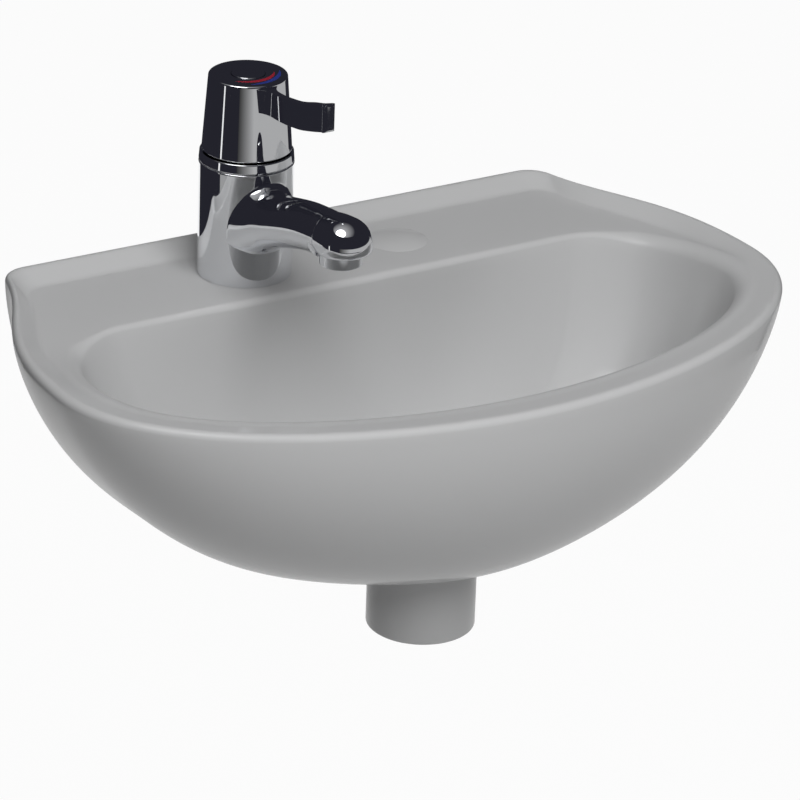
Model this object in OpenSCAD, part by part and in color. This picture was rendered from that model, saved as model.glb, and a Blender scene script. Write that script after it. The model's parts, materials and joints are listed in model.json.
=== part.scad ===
// Wall-hung hand-rinse washbasin with a single-lever basin mixer on the left of its deck.
// Millimetres. X runs along the wall, +Y points into the wall and Z is up.
// The origin is on the wall face, midway between the two wall fixing holes.

/* [Basin outline] */
// Width of the basin at its widest point
basin_w = 450; // [430:1:480]
// Depth of the basin from the wall to the front of the rim
basin_d = 300; // [290:1:325]
// Width of the back edge, corner to corner
back_w = 354; // [344:1:370]
// Radius of the two back corners
corner_r = 14; // [8:1:18]
// Angle at which the sides leave the back corners, in degrees
side_angle = 14; // [10:1:18]
// Distance of the widest point from the wall
widest_y = 163; // [155:1:172]

/* [Basin section] */
// Height of the rim above the wall fixings
rim_z = 70; // [60:1:80]
// Height from the underside of the waste boss to the rim
basin_h = 184; // [176:1:200]
// Height from the underside of the hull to the rim
hull_h = 132; // [130:1:140]
// Radius of the rim's outer edge
rim_r = 4; // [3:0.5:6]
// How far the tap deck lies below the rim
deck_drop = 7; // [5:0.5:9]
// Width of the sloping upstand behind the deck
upstand_w = 17; // [12:1:22]
// Thickness of the tap deck
deck_t = 13; // [10:1:15]
// Wall between the bowl and the service space behind it
bowl_wall = 10; // [8:1:12]
// Thickness of the shell beside the service space
shell_wall = 11; // [9:1:14]

/* [Bowl] */
// Distance of the bowl's straight back edge from the wall
bowl_back_y = 89; // [86:1:94]
// Length of the bowl's straight back edge
bowl_back_w = 292; // [276:1:300]
// Width of the rim beside the bowl
rim_side_w = 30; // [26:1:34]
// Width of the rim in front of the bowl
rim_front_w = 27; // [23:1:32]
// Depth of the bowl below the rim
bowl_depth = 119; // [112:1:121]

/* [Tap holes] */
// Place of the tap hole along the wall
tap_x = -47.5; // [-60:0.5:-42]
// Distance of the tap hole from the wall
tap_y = 48.5; // [43:0.5:50]
// Diameter of the tap hole
tap_hole_d = 35; // [34:0.5:37]
// Place of the blanked second tap hole along the wall
blank_x = 53; // [46:1:60]
// Rise of the dome over the blanked hole
blank_rise = 2; // [1:0.5:3]
// Thickness of the skin left over the blanked hole
blank_skin = 4; // [3:0.5:6]

/* [Wall fixings] */
// Distance between the two wall fixing holes
fixing_spacing = 230; // [220:1:240]
// Diameter of the wall fixing holes
fixing_hole_d = 14; // [12:0.5:16]
// Thickness of the ceramic pads behind the wall fixing holes
pad_t = 14; // [12:1:18]
// Width of each pad, measured inwards from the hole
pad_inner = 22; // [18:1:28]

/* [Waste] */
// Distance of the waste from the wall
waste_y = 174; // [168:1:180]
// Diameter of the waste boss under the basin
boss_d = 62; // [60:0.5:66]
// Diameter of the waste hole
waste_hole_d = 45; // [44:0.5:46]
// Diameter of the waste's flange
flange_d = 62; // [58:0.5:64]
// Thickness of the waste's flange
flange_t = 2.5; // [2:0.5:4]
// Diameter of the thread on the waste's tail
tail_d = 41.91; // [41:0.01:42]
// Diameter of the outlet bore that takes the waste pipe
outlet_d = 32.2; // [31:0.1:33]
// Diameter of the ring nut under the boss
ring_nut_d = 50; // [49:0.5:51]
// Height of the ring nut
ring_nut_h = 8; // [6:0.5:10]

/* [Tap body] */
// Diameter of the tap body
body_d = 54; // [52:0.5:56]
// Height of the tap body above the deck
body_h = 68; // [64:0.5:74]
// Height of the bright ring between body and handle
ring_h = 6; // [5:0.5:8]
// Reach of the spout, from the tap's axis to the middle of the outlet
spout_reach = 106; // [100:0.5:112]
// Height of the middle of the spout's nose above the deck
nose_h = 57.5; // [56:0.5:60]
// Diameter of the spout's nose
nose_d = 30; // [29:0.5:32]
// Diameter of the spout's neck, just before its nose
neck_d = 27; // [25:0.5:28]
// Rise of the spout along its length, in degrees
spout_rise = 17; // [15:1:18]

/* [Handle] */
// Diameter of the handle at its lower edge
knob_base_d = 51; // [49:0.5:52]
// Diameter of the handle at its top
knob_top_d = 45; // [43:0.5:47]
// Height of the handle
knob_h = 44; // [42:0.5:48]
// Length of the lever, from the tap's axis to its tip
lever_reach = 95; // [90:1:102]
// Height of the lever blade at its tip
lever_tip_h = 13; // [11:0.5:15]
// Thickness of the lever blade
lever_t = 4.5; // [4:0.5:6]

/* [Cartridge and fixings] */
// Diameter of the ceramic disc cartridge
cartridge_d = 35; // [34:0.5:35.5]
// Height of the cartridge
cartridge_h = 14; // [12:0.5:18]
// Diameter of the cartridge's spindle
spindle_d = 10; // [9:0.5:11]
// Diameter of the fixing stud under the tap
stud_d = 8; // [7:0.5:9]
// Diameter of the water inlet threads
inlet_d = 8.92; // [8:0.02:9.5]
// Distance between the two water inlets
inlet_spacing = 15; // [14:0.5:16]
// Thickness of the rubber gasket under the tap body
gasket_t = 1.5; // [1:0.5:2.5]
// Diameter of the aerator
aerator_d = 23.6; // [23:0.2:24.4]
// Height of the aerator that shows below the spout
aerator_h = 6.5; // [5:0.5:8]

/* [Hidden] */

// Clearances
seat_gap = 0.3;
running_gap = 0.05;
slip_gap = 0.2;
cut = 1;

// Smoothness of the round parts
round_fn = 96;
small_fn = 48;

// Shape of the hull: how square its sides, back and front stay as it runs down to the waste
side_power = 1.32;
side_root = 2.39;
back_power = 1.2;
back_root = 4.95;
front_power = 1.98;
front_root = 1.85;
wall_face_h = 108;
fillet_r = 11;

// Shape of the bowl
bowl_power = 2.3;
bowl_root = 2.1;
bowl_edge_r = 4;
flat_margin = 6;
level_run = 90;

// Points along half of the outline: back edge, corner, side and front
n_back = 5;
n_corner = 5;
n_side = 11;
n_front = 17;
n_half = n_back + n_corner + n_side + n_front;
n_ring = 2 * n_half;
n_hull = 12;
n_bowl = 11;
n_rim = 3;

deck_z = rim_z - deck_drop;
slope_w = min(upstand_w, tap_y - body_d / 2 - rim_r);
boss_z = rim_z - basin_h;
hull_z = rim_z - hull_h;
floor_z = rim_z - bowl_depth;
waste_p = [0, -waste_y];
boss_r = boss_d / 2;
hull_foot_r = boss_r + fillet_r;
recess_r = flange_d / 2 + 1;
recess_h = flange_t + 1;
floor_r = recess_r + 3;

function mix(a, b, t) = a * (1 - t) + b * t;
function ease(t) = let (s = max(0, min(1, t))) s * s * (3 - 2 * s);
function bezier(a, b, c, d, t) =
    pow(1 - t, 3) * a + 3 * pow(1 - t, 2) * t * b + 3 * (1 - t) * t * t * c + t * t * t * d;
function arc_share(u, power, root) = pow(max(0, 1 - pow(u, power)), 1 / root);

// Half outline of the rim, from the middle of the back edge to the middle of the front
side_dir = [sin(side_angle), -cos(side_angle)];
corner_p = [back_w / 2, 0];
corner_leg = corner_r * tan((90 - side_angle) / 2);
corner_a = corner_p - [corner_leg, 0];
corner_b = corner_p + side_dir * corner_leg;
corner_pull = 0.6;
side_pull = 50;
widest_pull = 84;
front_pull = 87;
nose_pull = 95;
widest_p = [basin_w / 2, -widest_y];
front_p = [0, -basin_d];

function rim_half(i) =
    i < n_back ? [corner_a[0] * i / n_back, 0]
    : i < n_back + n_corner ? bezier(corner_a, mix(corner_a, corner_p, corner_pull),
        mix(corner_b, corner_p, corner_pull), corner_b, (i - n_back) / n_corner)
    : i < n_back + n_corner + n_side ? bezier(corner_b, corner_b + side_dir * side_pull,
        widest_p + [0, widest_pull], widest_p, (i - n_back - n_corner) / n_side)
    : bezier(widest_p, widest_p - [0, front_pull], front_p + [nose_pull, 0], front_p,
        (i - n_back - n_corner - n_side) / n_front);

// Half outline of the bowl's edge, with as many points along each stretch
bowl_corner_p = [bowl_back_w / 2, -bowl_back_y];
bowl_widest_p = [basin_w / 2 - rim_side_w, -widest_y - 2];
bowl_front_p = [0, -basin_d + rim_front_w];
bowl_corner_pull = 12;
bowl_side_pull = 63;
bowl_front_pull = 61;
bowl_nose_pull = 100;

function bowl_half(i) =
    i < n_back ? [bowl_corner_p[0] * i / n_back, -bowl_back_y]
    : i < n_back + n_corner + n_side ? bezier(bowl_corner_p, bowl_corner_p + [bowl_corner_pull, 0],
        bowl_widest_p + [0, bowl_side_pull], bowl_widest_p, (i - n_back) / (n_corner + n_side))
    : bezier(bowl_widest_p, bowl_widest_p - [0, bowl_front_pull],
        bowl_front_p + [bowl_nose_pull, 0], bowl_front_p,
        (i - n_back - n_corner - n_side) / n_front);

// A whole ring runs down the right half and back up the mirrored left half
function flip(p) = [-p[0], p[1]];
function rim_pt(i) = i <= n_half ? rim_half(i) : flip(rim_half(n_ring - i));
function bowl_pt(i) = i <= n_half ? bowl_half(i) : flip(bowl_half(n_ring - i));
function toward(p, radius) = let (v = p - waste_p) waste_p + v * radius / norm(v);
function raise(p, z) = [p[0], p[1], z];
function round_ring(radius, z) = [for (i = [0:n_ring - 1]) raise(toward(rim_pt(i), radius), z)];

// Hull rings run from the foot over the boss, where u is 1, up to the rim, where u is 0
function back_weight(y) = ease((y + waste_y) / waste_y);
function front_weight(y) = ease(-(y + waste_y) / (basin_d - waste_y));
function wall_share(z) = let (t = max(0, rim_z - z - wall_face_h) / (hull_h - wall_face_h))
    sqrt(max(0, 1 - t * t));
function hull_pt(i, u) =
    let (p = rim_pt(i), foot = toward(p, hull_foot_r), z = hull_level(u),
        wb = back_weight(p[1]), wf = front_weight(p[1]),
        side = arc_share(u, side_power, side_root), front = arc_share(u, front_power, front_root),
        sx = side * (1 - wb - wf) + arc_share(u, back_power, back_root) * wb + front * wf,
        sy = side * (1 - wb - wf) + wall_share(z) * wb + front * wf)
    [mix(foot[0], p[0], sx), mix(foot[1], p[1], sy), z];
function hull_level(u) = rim_z - rim_r - u * (hull_h - rim_r);
function hull_ring(u) = [for (i = [0:n_ring - 1]) hull_pt(i, u)];

// Rim and deck rings lie at set distances from the outline towards the bowl's edge
function inward(i, d) = let (p = rim_pt(i), v = bowl_pt(i) - p) p + v * min(1, d / norm(v));
function drop_share(y) = 1 - ease((-y - bowl_back_y - flat_margin) / level_run);
function deck_level(y) = rim_z - 1 - (deck_drop - 1) * drop_share(y);
function rim_ring(a) =
    [for (i = [0:n_ring - 1]) raise(inward(i, rim_r * (1 - cos(a))), rim_z - rim_r * (1 - sin(a)))];
function slope_ring(d, share) =
    [for (i = [0:n_ring - 1]) let (p = inward(i, d)) raise(p, mix(rim_z, deck_level(p[1]), share))];
function bowl_edge(i, out, down) =
    let (q = bowl_pt(i), v = rim_pt(i) - q, p = q + v * out / norm(v)) raise(p, deck_level(p[1]) - down);
function edge_ring(out, down) = [for (i = [0:n_ring - 1]) bowl_edge(i, out, down)];

// Bowl rings run from the bowl's edge, where v is 0, down to the floor, where v is 1
function bowl_share(v) = arc_share(v, bowl_power, bowl_root);
function bowl_in_pt(i, v) =
    let (e = bowl_edge(i, 0, bowl_edge_r * 0.35), q = [e[0], e[1]], foot = toward(q, floor_r), s = bowl_share(v))
    [mix(foot[0], q[0], s), mix(foot[1], q[1], s), mix(e[2], floor_z, v)];
function bowl_ring(v) = [for (i = [0:n_ring - 1]) bowl_in_pt(i, v)];

basin_rings = concat(
    [round_ring(boss_r - 1, boss_z), round_ring(boss_r, boss_z + 1)],
    [for (a = [0:30:90]) round_ring(boss_r + fillet_r * (1 - cos(a)), hull_z - fillet_r * (1 - sin(a)))],
    [for (k = [n_hull - 1:-1:0]) hull_ring(sin(90 * k / n_hull))],
    [for (k = [1:n_rim]) rim_ring(90 * k / n_rim)],
    [slope_ring(rim_r + 0.2 * slope_w, 0.1), slope_ring(rim_r + 0.55 * slope_w, 0.6),
        slope_ring(rim_r + slope_w, 1)],
    [edge_ring(bowl_edge_r, 0)],
    [for (k = [0:n_bowl]) bowl_ring(sin(90 * k / n_bowl))]
);

module loft(rings) {
    m = len(rings[0]);
    last = len(rings) - 1;
    points = [for (r = rings, p = r) p];
    sides = [for (k = [0:last - 1], i = [0:m - 1]) let (j = (i + 1) % m, a = k * m, b = a + m)
        each [[a + i, b + j, b + i], [a + i, a + j, b + j]]];
    floor_cap = [for (i = [m - 1:-1:0]) i];
    top_cap = [for (i = [0:m - 1]) last * m + i];
    polyhedron(points = points, faces = concat(sides, [floor_cap, top_cap]), convexity = 8);
}

// Service space behind the bowl, open to the wall and downwards
function back_wall_y(v) = mix(waste_y - floor_r, bowl_back_y, bowl_share(v));
space_front = [for (v = [0:0.125:1]) [-back_wall_y(v) + bowl_wall, mix(deck_z - deck_t, floor_z, v)]];
space_mouth_z = hull_z - 20;
space_top_z = deck_z - deck_t;
space_side_profile = concat([[cut, space_top_z]], space_front,
    [[space_front[len(space_front) - 1][0], space_mouth_z], [cut, space_mouth_z]]);
function level_share(z) = (rim_z - rim_r - z) / (hull_h - rim_r);
function hull_half_w(z) = let (foot = toward(corner_a, hull_foot_r))
    mix(foot[0], corner_a[0], arc_share(level_share(z), back_power, back_root));
space_low_z = hull_z + 14;
space_edge = [for (t = [0:0.125:1]) let (z = mix(space_top_z, space_low_z, t)) [hull_half_w(z) - shell_wall, z]];
space_half = concat(space_edge, [[space_edge[8][0] * 0.8, space_mouth_z]]);
space_back_profile = concat(space_half, [for (k = [len(space_half) - 1:-1:0])
    [-space_half[k][0], space_half[k][1]]]);
pad_x = fixing_spacing / 2 - pad_inner;

module along_wall(length) {
    rotate([90, 0, 90]) linear_extrude(height = length, center = true) children();
}

module from_wall(length) {
    rotate([90, 0, 0]) linear_extrude(height = length) children();
}

module service_space() {
    difference() {
        intersection() {
            along_wall(back_w) polygon(space_side_profile);
            translate([0, cut, 0]) from_wall(waste_y) polygon(space_back_profile);
        }
        for (side = [-1, 1]) scale([side, 1, 1])
            translate([pad_x, -pad_t, space_mouth_z - cut]) cube([back_w, pad_t + 2 * cut, basin_h]);
    }
}

module fixing_holes() {
    for (side = [-1, 1]) translate([side * fixing_spacing / 2, cut, 0])
        rotate([90, 0, 0]) cylinder(h = pad_t + 2 * cut, d = fixing_hole_d, $fn = small_fn);
}

counterbore_r = ring_nut_d / 2 + 0.6;
counterbore_h = ring_nut_h + 8;
blank_r = tap_hole_d / 2;
dome_r = (blank_r * blank_r + blank_rise * blank_rise) / (2 * blank_rise);

module blank_dome() {
    translate([blank_x, -tap_y, deck_z - cut]) intersection() {
        translate([0, 0, cut + blank_rise - dome_r]) sphere(r = dome_r, $fn = round_fn);
        cylinder(h = blank_rise + 2 * cut, d = tap_hole_d, $fn = round_fn);
    }
}

module ceramic_basin() color("gainsboro") {
    difference() {
        union() {
            loft(basin_rings);
            blank_dome();
        }
        service_space();
        fixing_holes();
        translate([tap_x, -tap_y, deck_z - deck_t - cut])
            cylinder(h = deck_t + 2 * cut, d = tap_hole_d, $fn = round_fn);
        translate([blank_x, -tap_y, deck_z - deck_t - cut])
            cylinder(h = deck_t + cut - blank_skin, d = tap_hole_d, $fn = round_fn);
        translate([0, -waste_y, boss_z - cut])
            cylinder(h = basin_h, d = waste_hole_d, $fn = round_fn);
        translate([0, -waste_y, floor_z - recess_h])
            cylinder(h = recess_h + cut, r = recess_r, $fn = round_fn);
        translate([0, -waste_y, boss_z - cut])
            cylinder(h = counterbore_h + cut, r = counterbore_r, $fn = round_fn);
    }
}

module at_tap(h = 0) {
    translate([tap_x, -tap_y, deck_z + h]) children();
}

module at_waste(z) {
    translate([0, -waste_y, z]) children();
}

module hollow(outer_r, inner_r, h) {
    difference() {
        cylinder(h = h, r = outer_r, $fn = round_fn);
        translate([0, 0, -cut]) cylinder(h = h + 2 * cut, r = inner_r, $fn = round_fn);
    }
}

// Heights in the tap, measured from the deck
body_r = body_d / 2;
nut_bore_r = cartridge_d / 2 + 2;
nut_bore_h = 6;
cartridge_top_h = body_h - nut_bore_h;
cartridge_seat_h = cartridge_top_h - cartridge_h;
ring_top_h = body_h + ring_h;
knob_z = ring_top_h + 1;
knob_top_z = knob_z + knob_h;
spigot_h = 4;
spout_bend_share = 0.69;
spout_bend_y = spout_reach * spout_bend_share;
spout_root_h = 32;
flare_h = 41.3;
spout_bend_h = spout_root_h + spout_bend_y * tan(spout_rise);
spout_len = spout_bend_y / cos(spout_rise);
nose_r = nose_d / 2;
waterway_r = 4.4;
waterway_drop = 12;
waterway_root_h = cartridge_seat_h - waterway_drop;
waterway_rise = atan((spout_bend_h - waterway_root_h) / spout_bend_y);
waterway_start = 6;
inlet_y = 3;
outlet_y = 9;
outlet_port_r = 3;
stud_y = tap_hole_d / 2 - stud_d / 2 - 3;
stud_grip = 14;
nose_y = spout_reach + 3.5;
spout_neck_r = neck_d / 2;
outlet_face_h = nose_h - 6.7;
outlet_way_h = outlet_face_h + 5.5;
aerator_bore_r = aerator_d / 2 - 1;
aerator_thread_h = 7;
flare = [[0, 7.9], [17, 7.9], [20, 6.9], [23.5, 5.9], [27, 4.9], [29, 3.9], [31, 2.5], [33, 0.5]];
taper = [[0, 3.2], [33, 3.1], [42, 2.1], [52, 1.4], [63, 0.8]];
bend_lap = 2.5;
bend_step = 0.8;

// The spout leaves the body through a flare, rises in a tapering neck, bends and ends in a ball
flare_profile = concat([[0, 0]], [for (f = flare) [spout_neck_r + f[1], f[0]]], [[0, flare[len(flare) - 1][0]]]);
neck_profile = concat([[0, 0]], [for (f = taper) [spout_neck_r + f[1], f[0]]],
    [[spout_neck_r, spout_len + bend_lap], [0, spout_len + bend_lap]]);

module spout() {
    translate([0, 0, flare_h]) rotate([90, 0, 0]) rotate_extrude($fn = round_fn) polygon(flare_profile);
    translate([0, 0, spout_root_h]) rotate([90 - spout_rise, 0, 0])
        rotate_extrude($fn = round_fn) polygon(neck_profile);
    translate([0, -spout_bend_y, spout_bend_h]) rotate([90 - spout_end_rise, 0, 0])
        translate([0, 0, -bend_lap])
            cylinder(h = spout_end_len, r1 = spout_neck_r + bend_step, r2 = spout_neck_r, $fn = round_fn);
    translate([0, -nose_y, nose_h]) rotate([90 - spout_rise, 0, 0]) sphere(r = nose_r, $fn = round_fn);
}
spout_end_rise = atan((nose_h - spout_bend_h) / (nose_y - spout_bend_y));
spout_end_len = norm([nose_h - spout_bend_h, nose_y - spout_bend_y]);

module tap_body() color("silver") at_tap() {
    difference() {
        union() {
            translate([0, 0, gasket_t]) cylinder(h = body_h - gasket_t, d = body_d, $fn = round_fn);
            difference() {
                spout();
                translate([-nose_d, -spout_reach - nose_d, outlet_face_h - nose_d])
                    cube([2 * nose_d, nose_d + aerator_d / 2 + 2.2, nose_d]);
            }
            translate([0, 0, -spigot_h])
                cylinder(h = spigot_h + gasket_t + cut, d = tap_hole_d - 1, $fn = round_fn);
        }
        translate([0, 0, cartridge_seat_h])
            cylinder(h = body_h, d = cartridge_d + 2 * slip_gap, $fn = round_fn);
        translate([0, 0, cartridge_top_h]) cylinder(h = body_h, r = nut_bore_r, $fn = round_fn);
        for (side = [-1, 1]) translate([side * inlet_spacing / 2, inlet_y, -spigot_h - cut])
            cylinder(h = cartridge_seat_h + spigot_h + 2 * cut, d = inlet_d, $fn = small_fn);
        translate([0, -stud_y, -spigot_h - cut])
            cylinder(h = stud_grip + spigot_h + cut, d = stud_d + 2 * running_gap, $fn = small_fn);
        translate([0, -outlet_y, waterway_root_h])
            cylinder(h = cartridge_seat_h - waterway_root_h + cut, r = outlet_port_r, $fn = small_fn);
        translate([0, 0, waterway_root_h]) rotate([90 - waterway_rise, 0, 0]) translate([0, 0, waterway_start])
            cylinder(h = spout_len - waterway_start, r = waterway_r, $fn = small_fn);
        translate([0, -spout_bend_y + 2 * bend_lap, outlet_way_h]) rotate([90, 0, 0])
            cylinder(h = spout_reach - spout_bend_y + bend_lap, r = waterway_r - slip_gap, $fn = small_fn);
        translate([0, -spout_reach, outlet_face_h - cut])
            cylinder(h = aerator_thread_h + cut, r = aerator_bore_r, $fn = round_fn);
        translate([0, -spout_reach, outlet_face_h]) cylinder(h = nose_r - 4, r = 7, $fn = small_fn);
    }
}

module body_gasket() color("dimgray") at_tap() {
    hollow(body_r - 1, tap_hole_d / 2 + 0.5, gasket_t);
}

// Ring between the body and the handle, clamped by the cartridge nut
module trim_ring() color("silver") at_tap(body_h) {
    rotate_extrude($fn = round_fn) polygon([
        [nut_bore_r + 0.5, 0], [body_r - 0.6, 0], [body_r, 0.8], [body_r, ring_h * 0.35],
        [knob_base_d / 2 - 0.4, ring_h - 0.8], [knob_base_d / 2 - 1.2, ring_h], [nut_bore_r + 0.5, ring_h]
    ]);
}

knob_wall = 2.5;
knob_top_r = knob_top_d / 2;
knob_base_r = knob_base_d / 2;
knob_roof = 9;
hub_r = spindle_d / 2 + 4;
index_r = 9.5;
index_recess = 2.5;
mark_depth = 0.5;
screw_head_r = 4.2;
screw_head_h = 3;
screw_r = 2.5;
spindle_top = knob_top_z - knob_roof + 1;
spindle_grip = 22;

module knob_shell() {
    rotate_extrude($fn = round_fn) polygon([
        [0, knob_top_z], [knob_top_r - 1.2, knob_top_z], [knob_top_r - 0.3, knob_top_z - 0.4],
        [knob_top_r, knob_top_z - 1.3], [knob_base_r, knob_z], [knob_base_r - knob_wall, knob_z],
        [knob_top_r - knob_wall, knob_top_z - knob_roof], [hub_r, knob_top_z - knob_roof],
        [hub_r, spindle_top - spindle_grip], [spindle_d / 2 + running_gap, spindle_top - spindle_grip],
        [spindle_d / 2 + running_gap, spindle_top + running_gap], [0, spindle_top + running_gap]
    ]);
}

// Lever: a thin upright blade that sweeps up to a rounded tip
lever_root_y = 16;
lever_root_low = knob_top_z - 15;
lever_root_high = knob_top_z - 1.8;
lever_tip_low = knob_top_z + 1.5;
lever_tip_high = lever_tip_low + lever_tip_h;
lever_high = [for (t = [0:0.1:1]) bezier([-lever_root_y, lever_root_high], [-40, lever_root_high + 3.5],
    [-70, lever_root_high + 8], [-lever_reach, lever_tip_high], t)];
lever_low = [for (t = [0:0.1:1]) bezier([-lever_reach, lever_tip_low], [-72, lever_root_low + 4.5],
    [-45, lever_root_low + 1], [-lever_root_y, lever_root_low], t)];
lever_flare = [[-1, 4.7], [0.5, 3.4], [2.5, 2], [4.5, 1], [7, 0.3], [10, 0]];
lever_edge = concat([[lever_t / 2 + lever_flare[0][1], -lever_root_y]],
    [for (f = lever_flare) [lever_t / 2 + f[1], -knob_top_r - f[0]]], [[lever_t / 2, -lever_reach]]);
lever_plan = concat(lever_edge, [for (k = [len(lever_edge) - 1:-1:0]) flip(lever_edge[k])]);
tip_r = 3.4;

module lever() {
    intersection() {
        along_wall(4 * lever_t) polygon(concat(lever_high, lever_low));
        translate([0, 0, knob_z]) linear_extrude(height = 2 * knob_h) polygon(lever_plan);
    }
    translate([0, -lever_reach + tip_r, lever_tip_low - 0.6])
        cylinder(h = lever_tip_h + 0.6, r = tip_r, $fn = small_fn);
}

module handle() color("silver") at_tap() {
    difference() {
        union() {
            knob_shell();
            lever();
        }
        translate([0, 0, knob_top_z - index_recess])
            cylinder(h = index_recess + cut, r = index_r + slip_gap, $fn = round_fn);
        translate([0, 0, knob_top_z - index_recess - screw_head_h])
            cylinder(h = knob_roof, r = screw_head_r + slip_gap, $fn = small_fn);
        cylinder(h = knob_top_z, r = screw_r + slip_gap, $fn = small_fn);
        mark_shape(hot_mark_r, hot_mark_turn, hot_mark_span, mark_depth + cut, 0);
        mark_shape(cold_mark_r, cold_mark_turn, cold_mark_span, mark_depth + cut, 0);
    }
}

// Crescent marks on the top of the handle, each cut into it and filled flush
hot_mark_r = 14.8;
cold_mark_r = 18.3;
hot_mark_turn = 8;
cold_mark_turn = 28;
hot_mark_span = 56;
cold_mark_span = 42;
mark_w = 2.8;

module mark_shape(outer_r, turn, span, h, ease_in) {
    shift = mark_w / (1 - cos(span));
    translate([0, 0, knob_top_z - mark_depth]) rotate([0, 0, turn])
        linear_extrude(height = h) difference() {
            circle(r = outer_r - ease_in, $fn = round_fn);
            translate([0, shift]) circle(r = outer_r + shift * cos(span) + ease_in, $fn = round_fn);
        }
}

module hot_mark() color("firebrick") at_tap() {
    mark_shape(hot_mark_r, hot_mark_turn, hot_mark_span, mark_depth, running_gap);
}

module cold_mark() color("royalblue") at_tap() {
    mark_shape(cold_mark_r, cold_mark_turn, cold_mark_span, mark_depth, running_gap);
}

module index_cap() color("silver") at_tap(knob_top_z - index_recess) {
    rotate_extrude($fn = round_fn) polygon([
        [0, 0], [index_r, 0], [index_r, index_recess], [index_r - 0.8, index_recess + 0.6],
        [index_r - 3, index_recess + 0.9], [0, index_recess + 1]
    ]);
}

screw_len = 12;
module handle_screw() color("gray") at_tap(knob_top_z - index_recess - screw_head_h) {
    difference() {
        union() {
            cylinder(h = screw_head_h - slip_gap, r = screw_head_r, $fn = small_fn);
            translate([0, 0, -screw_len]) cylinder(h = screw_len + 0.5, r = screw_r, $fn = small_fn);
        }
        translate([0, 0, 1]) cylinder(h = screw_head_h, r = 1.6, $fn = 6);
    }
}

// The spindle turns in the cartridge and carries the handle
drive_plate_r = cartridge_d / 2 - 4;
drive_plate_t = 3;
cartridge_roof = 5;
spindle_foot_h = cartridge_top_h - cartridge_roof - drive_plate_t;
screw_hole_h = screw_len + 2;
neck_r = spindle_d / 2 + 4;

module spindle() color("goldenrod") at_tap() {
    difference() {
        union() {
            translate([0, 0, spindle_foot_h])
                cylinder(h = drive_plate_t, r = drive_plate_r, $fn = small_fn);
            translate([0, 0, spindle_foot_h])
                cylinder(h = spindle_top - spindle_foot_h, d = spindle_d, $fn = round_fn);
        }
        translate([0, 0, spindle_top - screw_hole_h])
            cylinder(h = screw_hole_h + cut, r = screw_r + running_gap, $fn = small_fn);
    }
}

seal_t = 1.2;
port_h = spindle_foot_h - cartridge_seat_h + cut;
module cartridge() color("ivory") at_tap() {
    difference() {
        union() {
            translate([0, 0, cartridge_seat_h + seal_t])
                cylinder(h = cartridge_top_h - cartridge_seat_h - seal_t, d = cartridge_d, $fn = round_fn);
            translate([0, 0, cartridge_seat_h + seal_t])
                cylinder(h = body_h + 2 - cartridge_seat_h - seal_t, r = neck_r, $fn = small_fn);
        }
        translate([0, 0, spindle_foot_h - seat_gap])
            cylinder(h = drive_plate_t + 2 * seat_gap, r = drive_plate_r + seat_gap, $fn = small_fn);
        translate([0, 0, spindle_foot_h])
            cylinder(h = body_h, r = spindle_d / 2 + running_gap, $fn = round_fn);
        for (side = [-1, 1]) translate([side * inlet_spacing / 2, inlet_y, cartridge_seat_h])
            cylinder(h = port_h, d = inlet_d - 2, $fn = small_fn);
        translate([0, -outlet_y, cartridge_seat_h]) cylinder(h = port_h, r = outlet_port_r, $fn = small_fn);
    }
}

module cartridge_seals() color("dimgray") at_tap(cartridge_seat_h) {
    for (side = [-1, 1]) translate([side * inlet_spacing / 2, inlet_y, 0])
        hollow(inlet_d / 2 + 1.6, inlet_d / 2 + slip_gap, seal_t);
    translate([0, -outlet_y, 0]) hollow(outlet_port_r + 1.6, outlet_port_r + slip_gap, seal_t);
}

nut_hex_h = 4.5;
module cartridge_nut() color("darkgoldenrod") at_tap(cartridge_top_h) {
    difference() {
        union() {
            cylinder(h = nut_bore_h, r = nut_bore_r - slip_gap, $fn = round_fn);
            translate([0, 0, nut_bore_h - cut]) cylinder(h = nut_hex_h + cut, r = 17.5, $fn = 6);
        }
        translate([0, 0, -cut])
            cylinder(h = nut_bore_h + nut_hex_h + 2 * cut, r = neck_r + slip_gap, $fn = small_fn);
    }
}

// Toothed collar under the handle that sets how far it turns to hot
teeth = 24;
tooth = [[0, 13.6], [0.1, 15.2], [0.5, 15.2], [0.6, 13.6]];
stop_h = 5;
module limit_stop() color("whitesmoke") at_tap(body_h + nut_hex_h) {
    difference() {
        linear_extrude(height = stop_h) polygon([for (k = [0:teeth - 1], c = tooth)
            let (a = (k + c[0]) * 360 / teeth) c[1] * [cos(a), sin(a)]]);
        translate([0, 0, -cut]) cylinder(h = stop_h + 2 * cut, r = spindle_d / 2 + 0.6, $fn = small_fn);
    }
}

insert_r = aerator_bore_r - 1.6;
module aerator_housing() color("silver") at_tap(outlet_face_h - aerator_h) translate([0, -spout_reach, 0]) {
    difference() {
        union() {
            cylinder(h = aerator_h - 0.05, d = aerator_d, $fn = round_fn);
            cylinder(h = aerator_h + aerator_thread_h - 2, r = aerator_bore_r - running_gap, $fn = round_fn);
        }
        translate([0, 0, 1]) cylinder(h = 2 * aerator_h + aerator_thread_h, r = insert_r, $fn = round_fn);
        translate([0, 0, -cut]) cylinder(h = 3 * cut, r = insert_r - 0.8, $fn = round_fn);
    }
}

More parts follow.
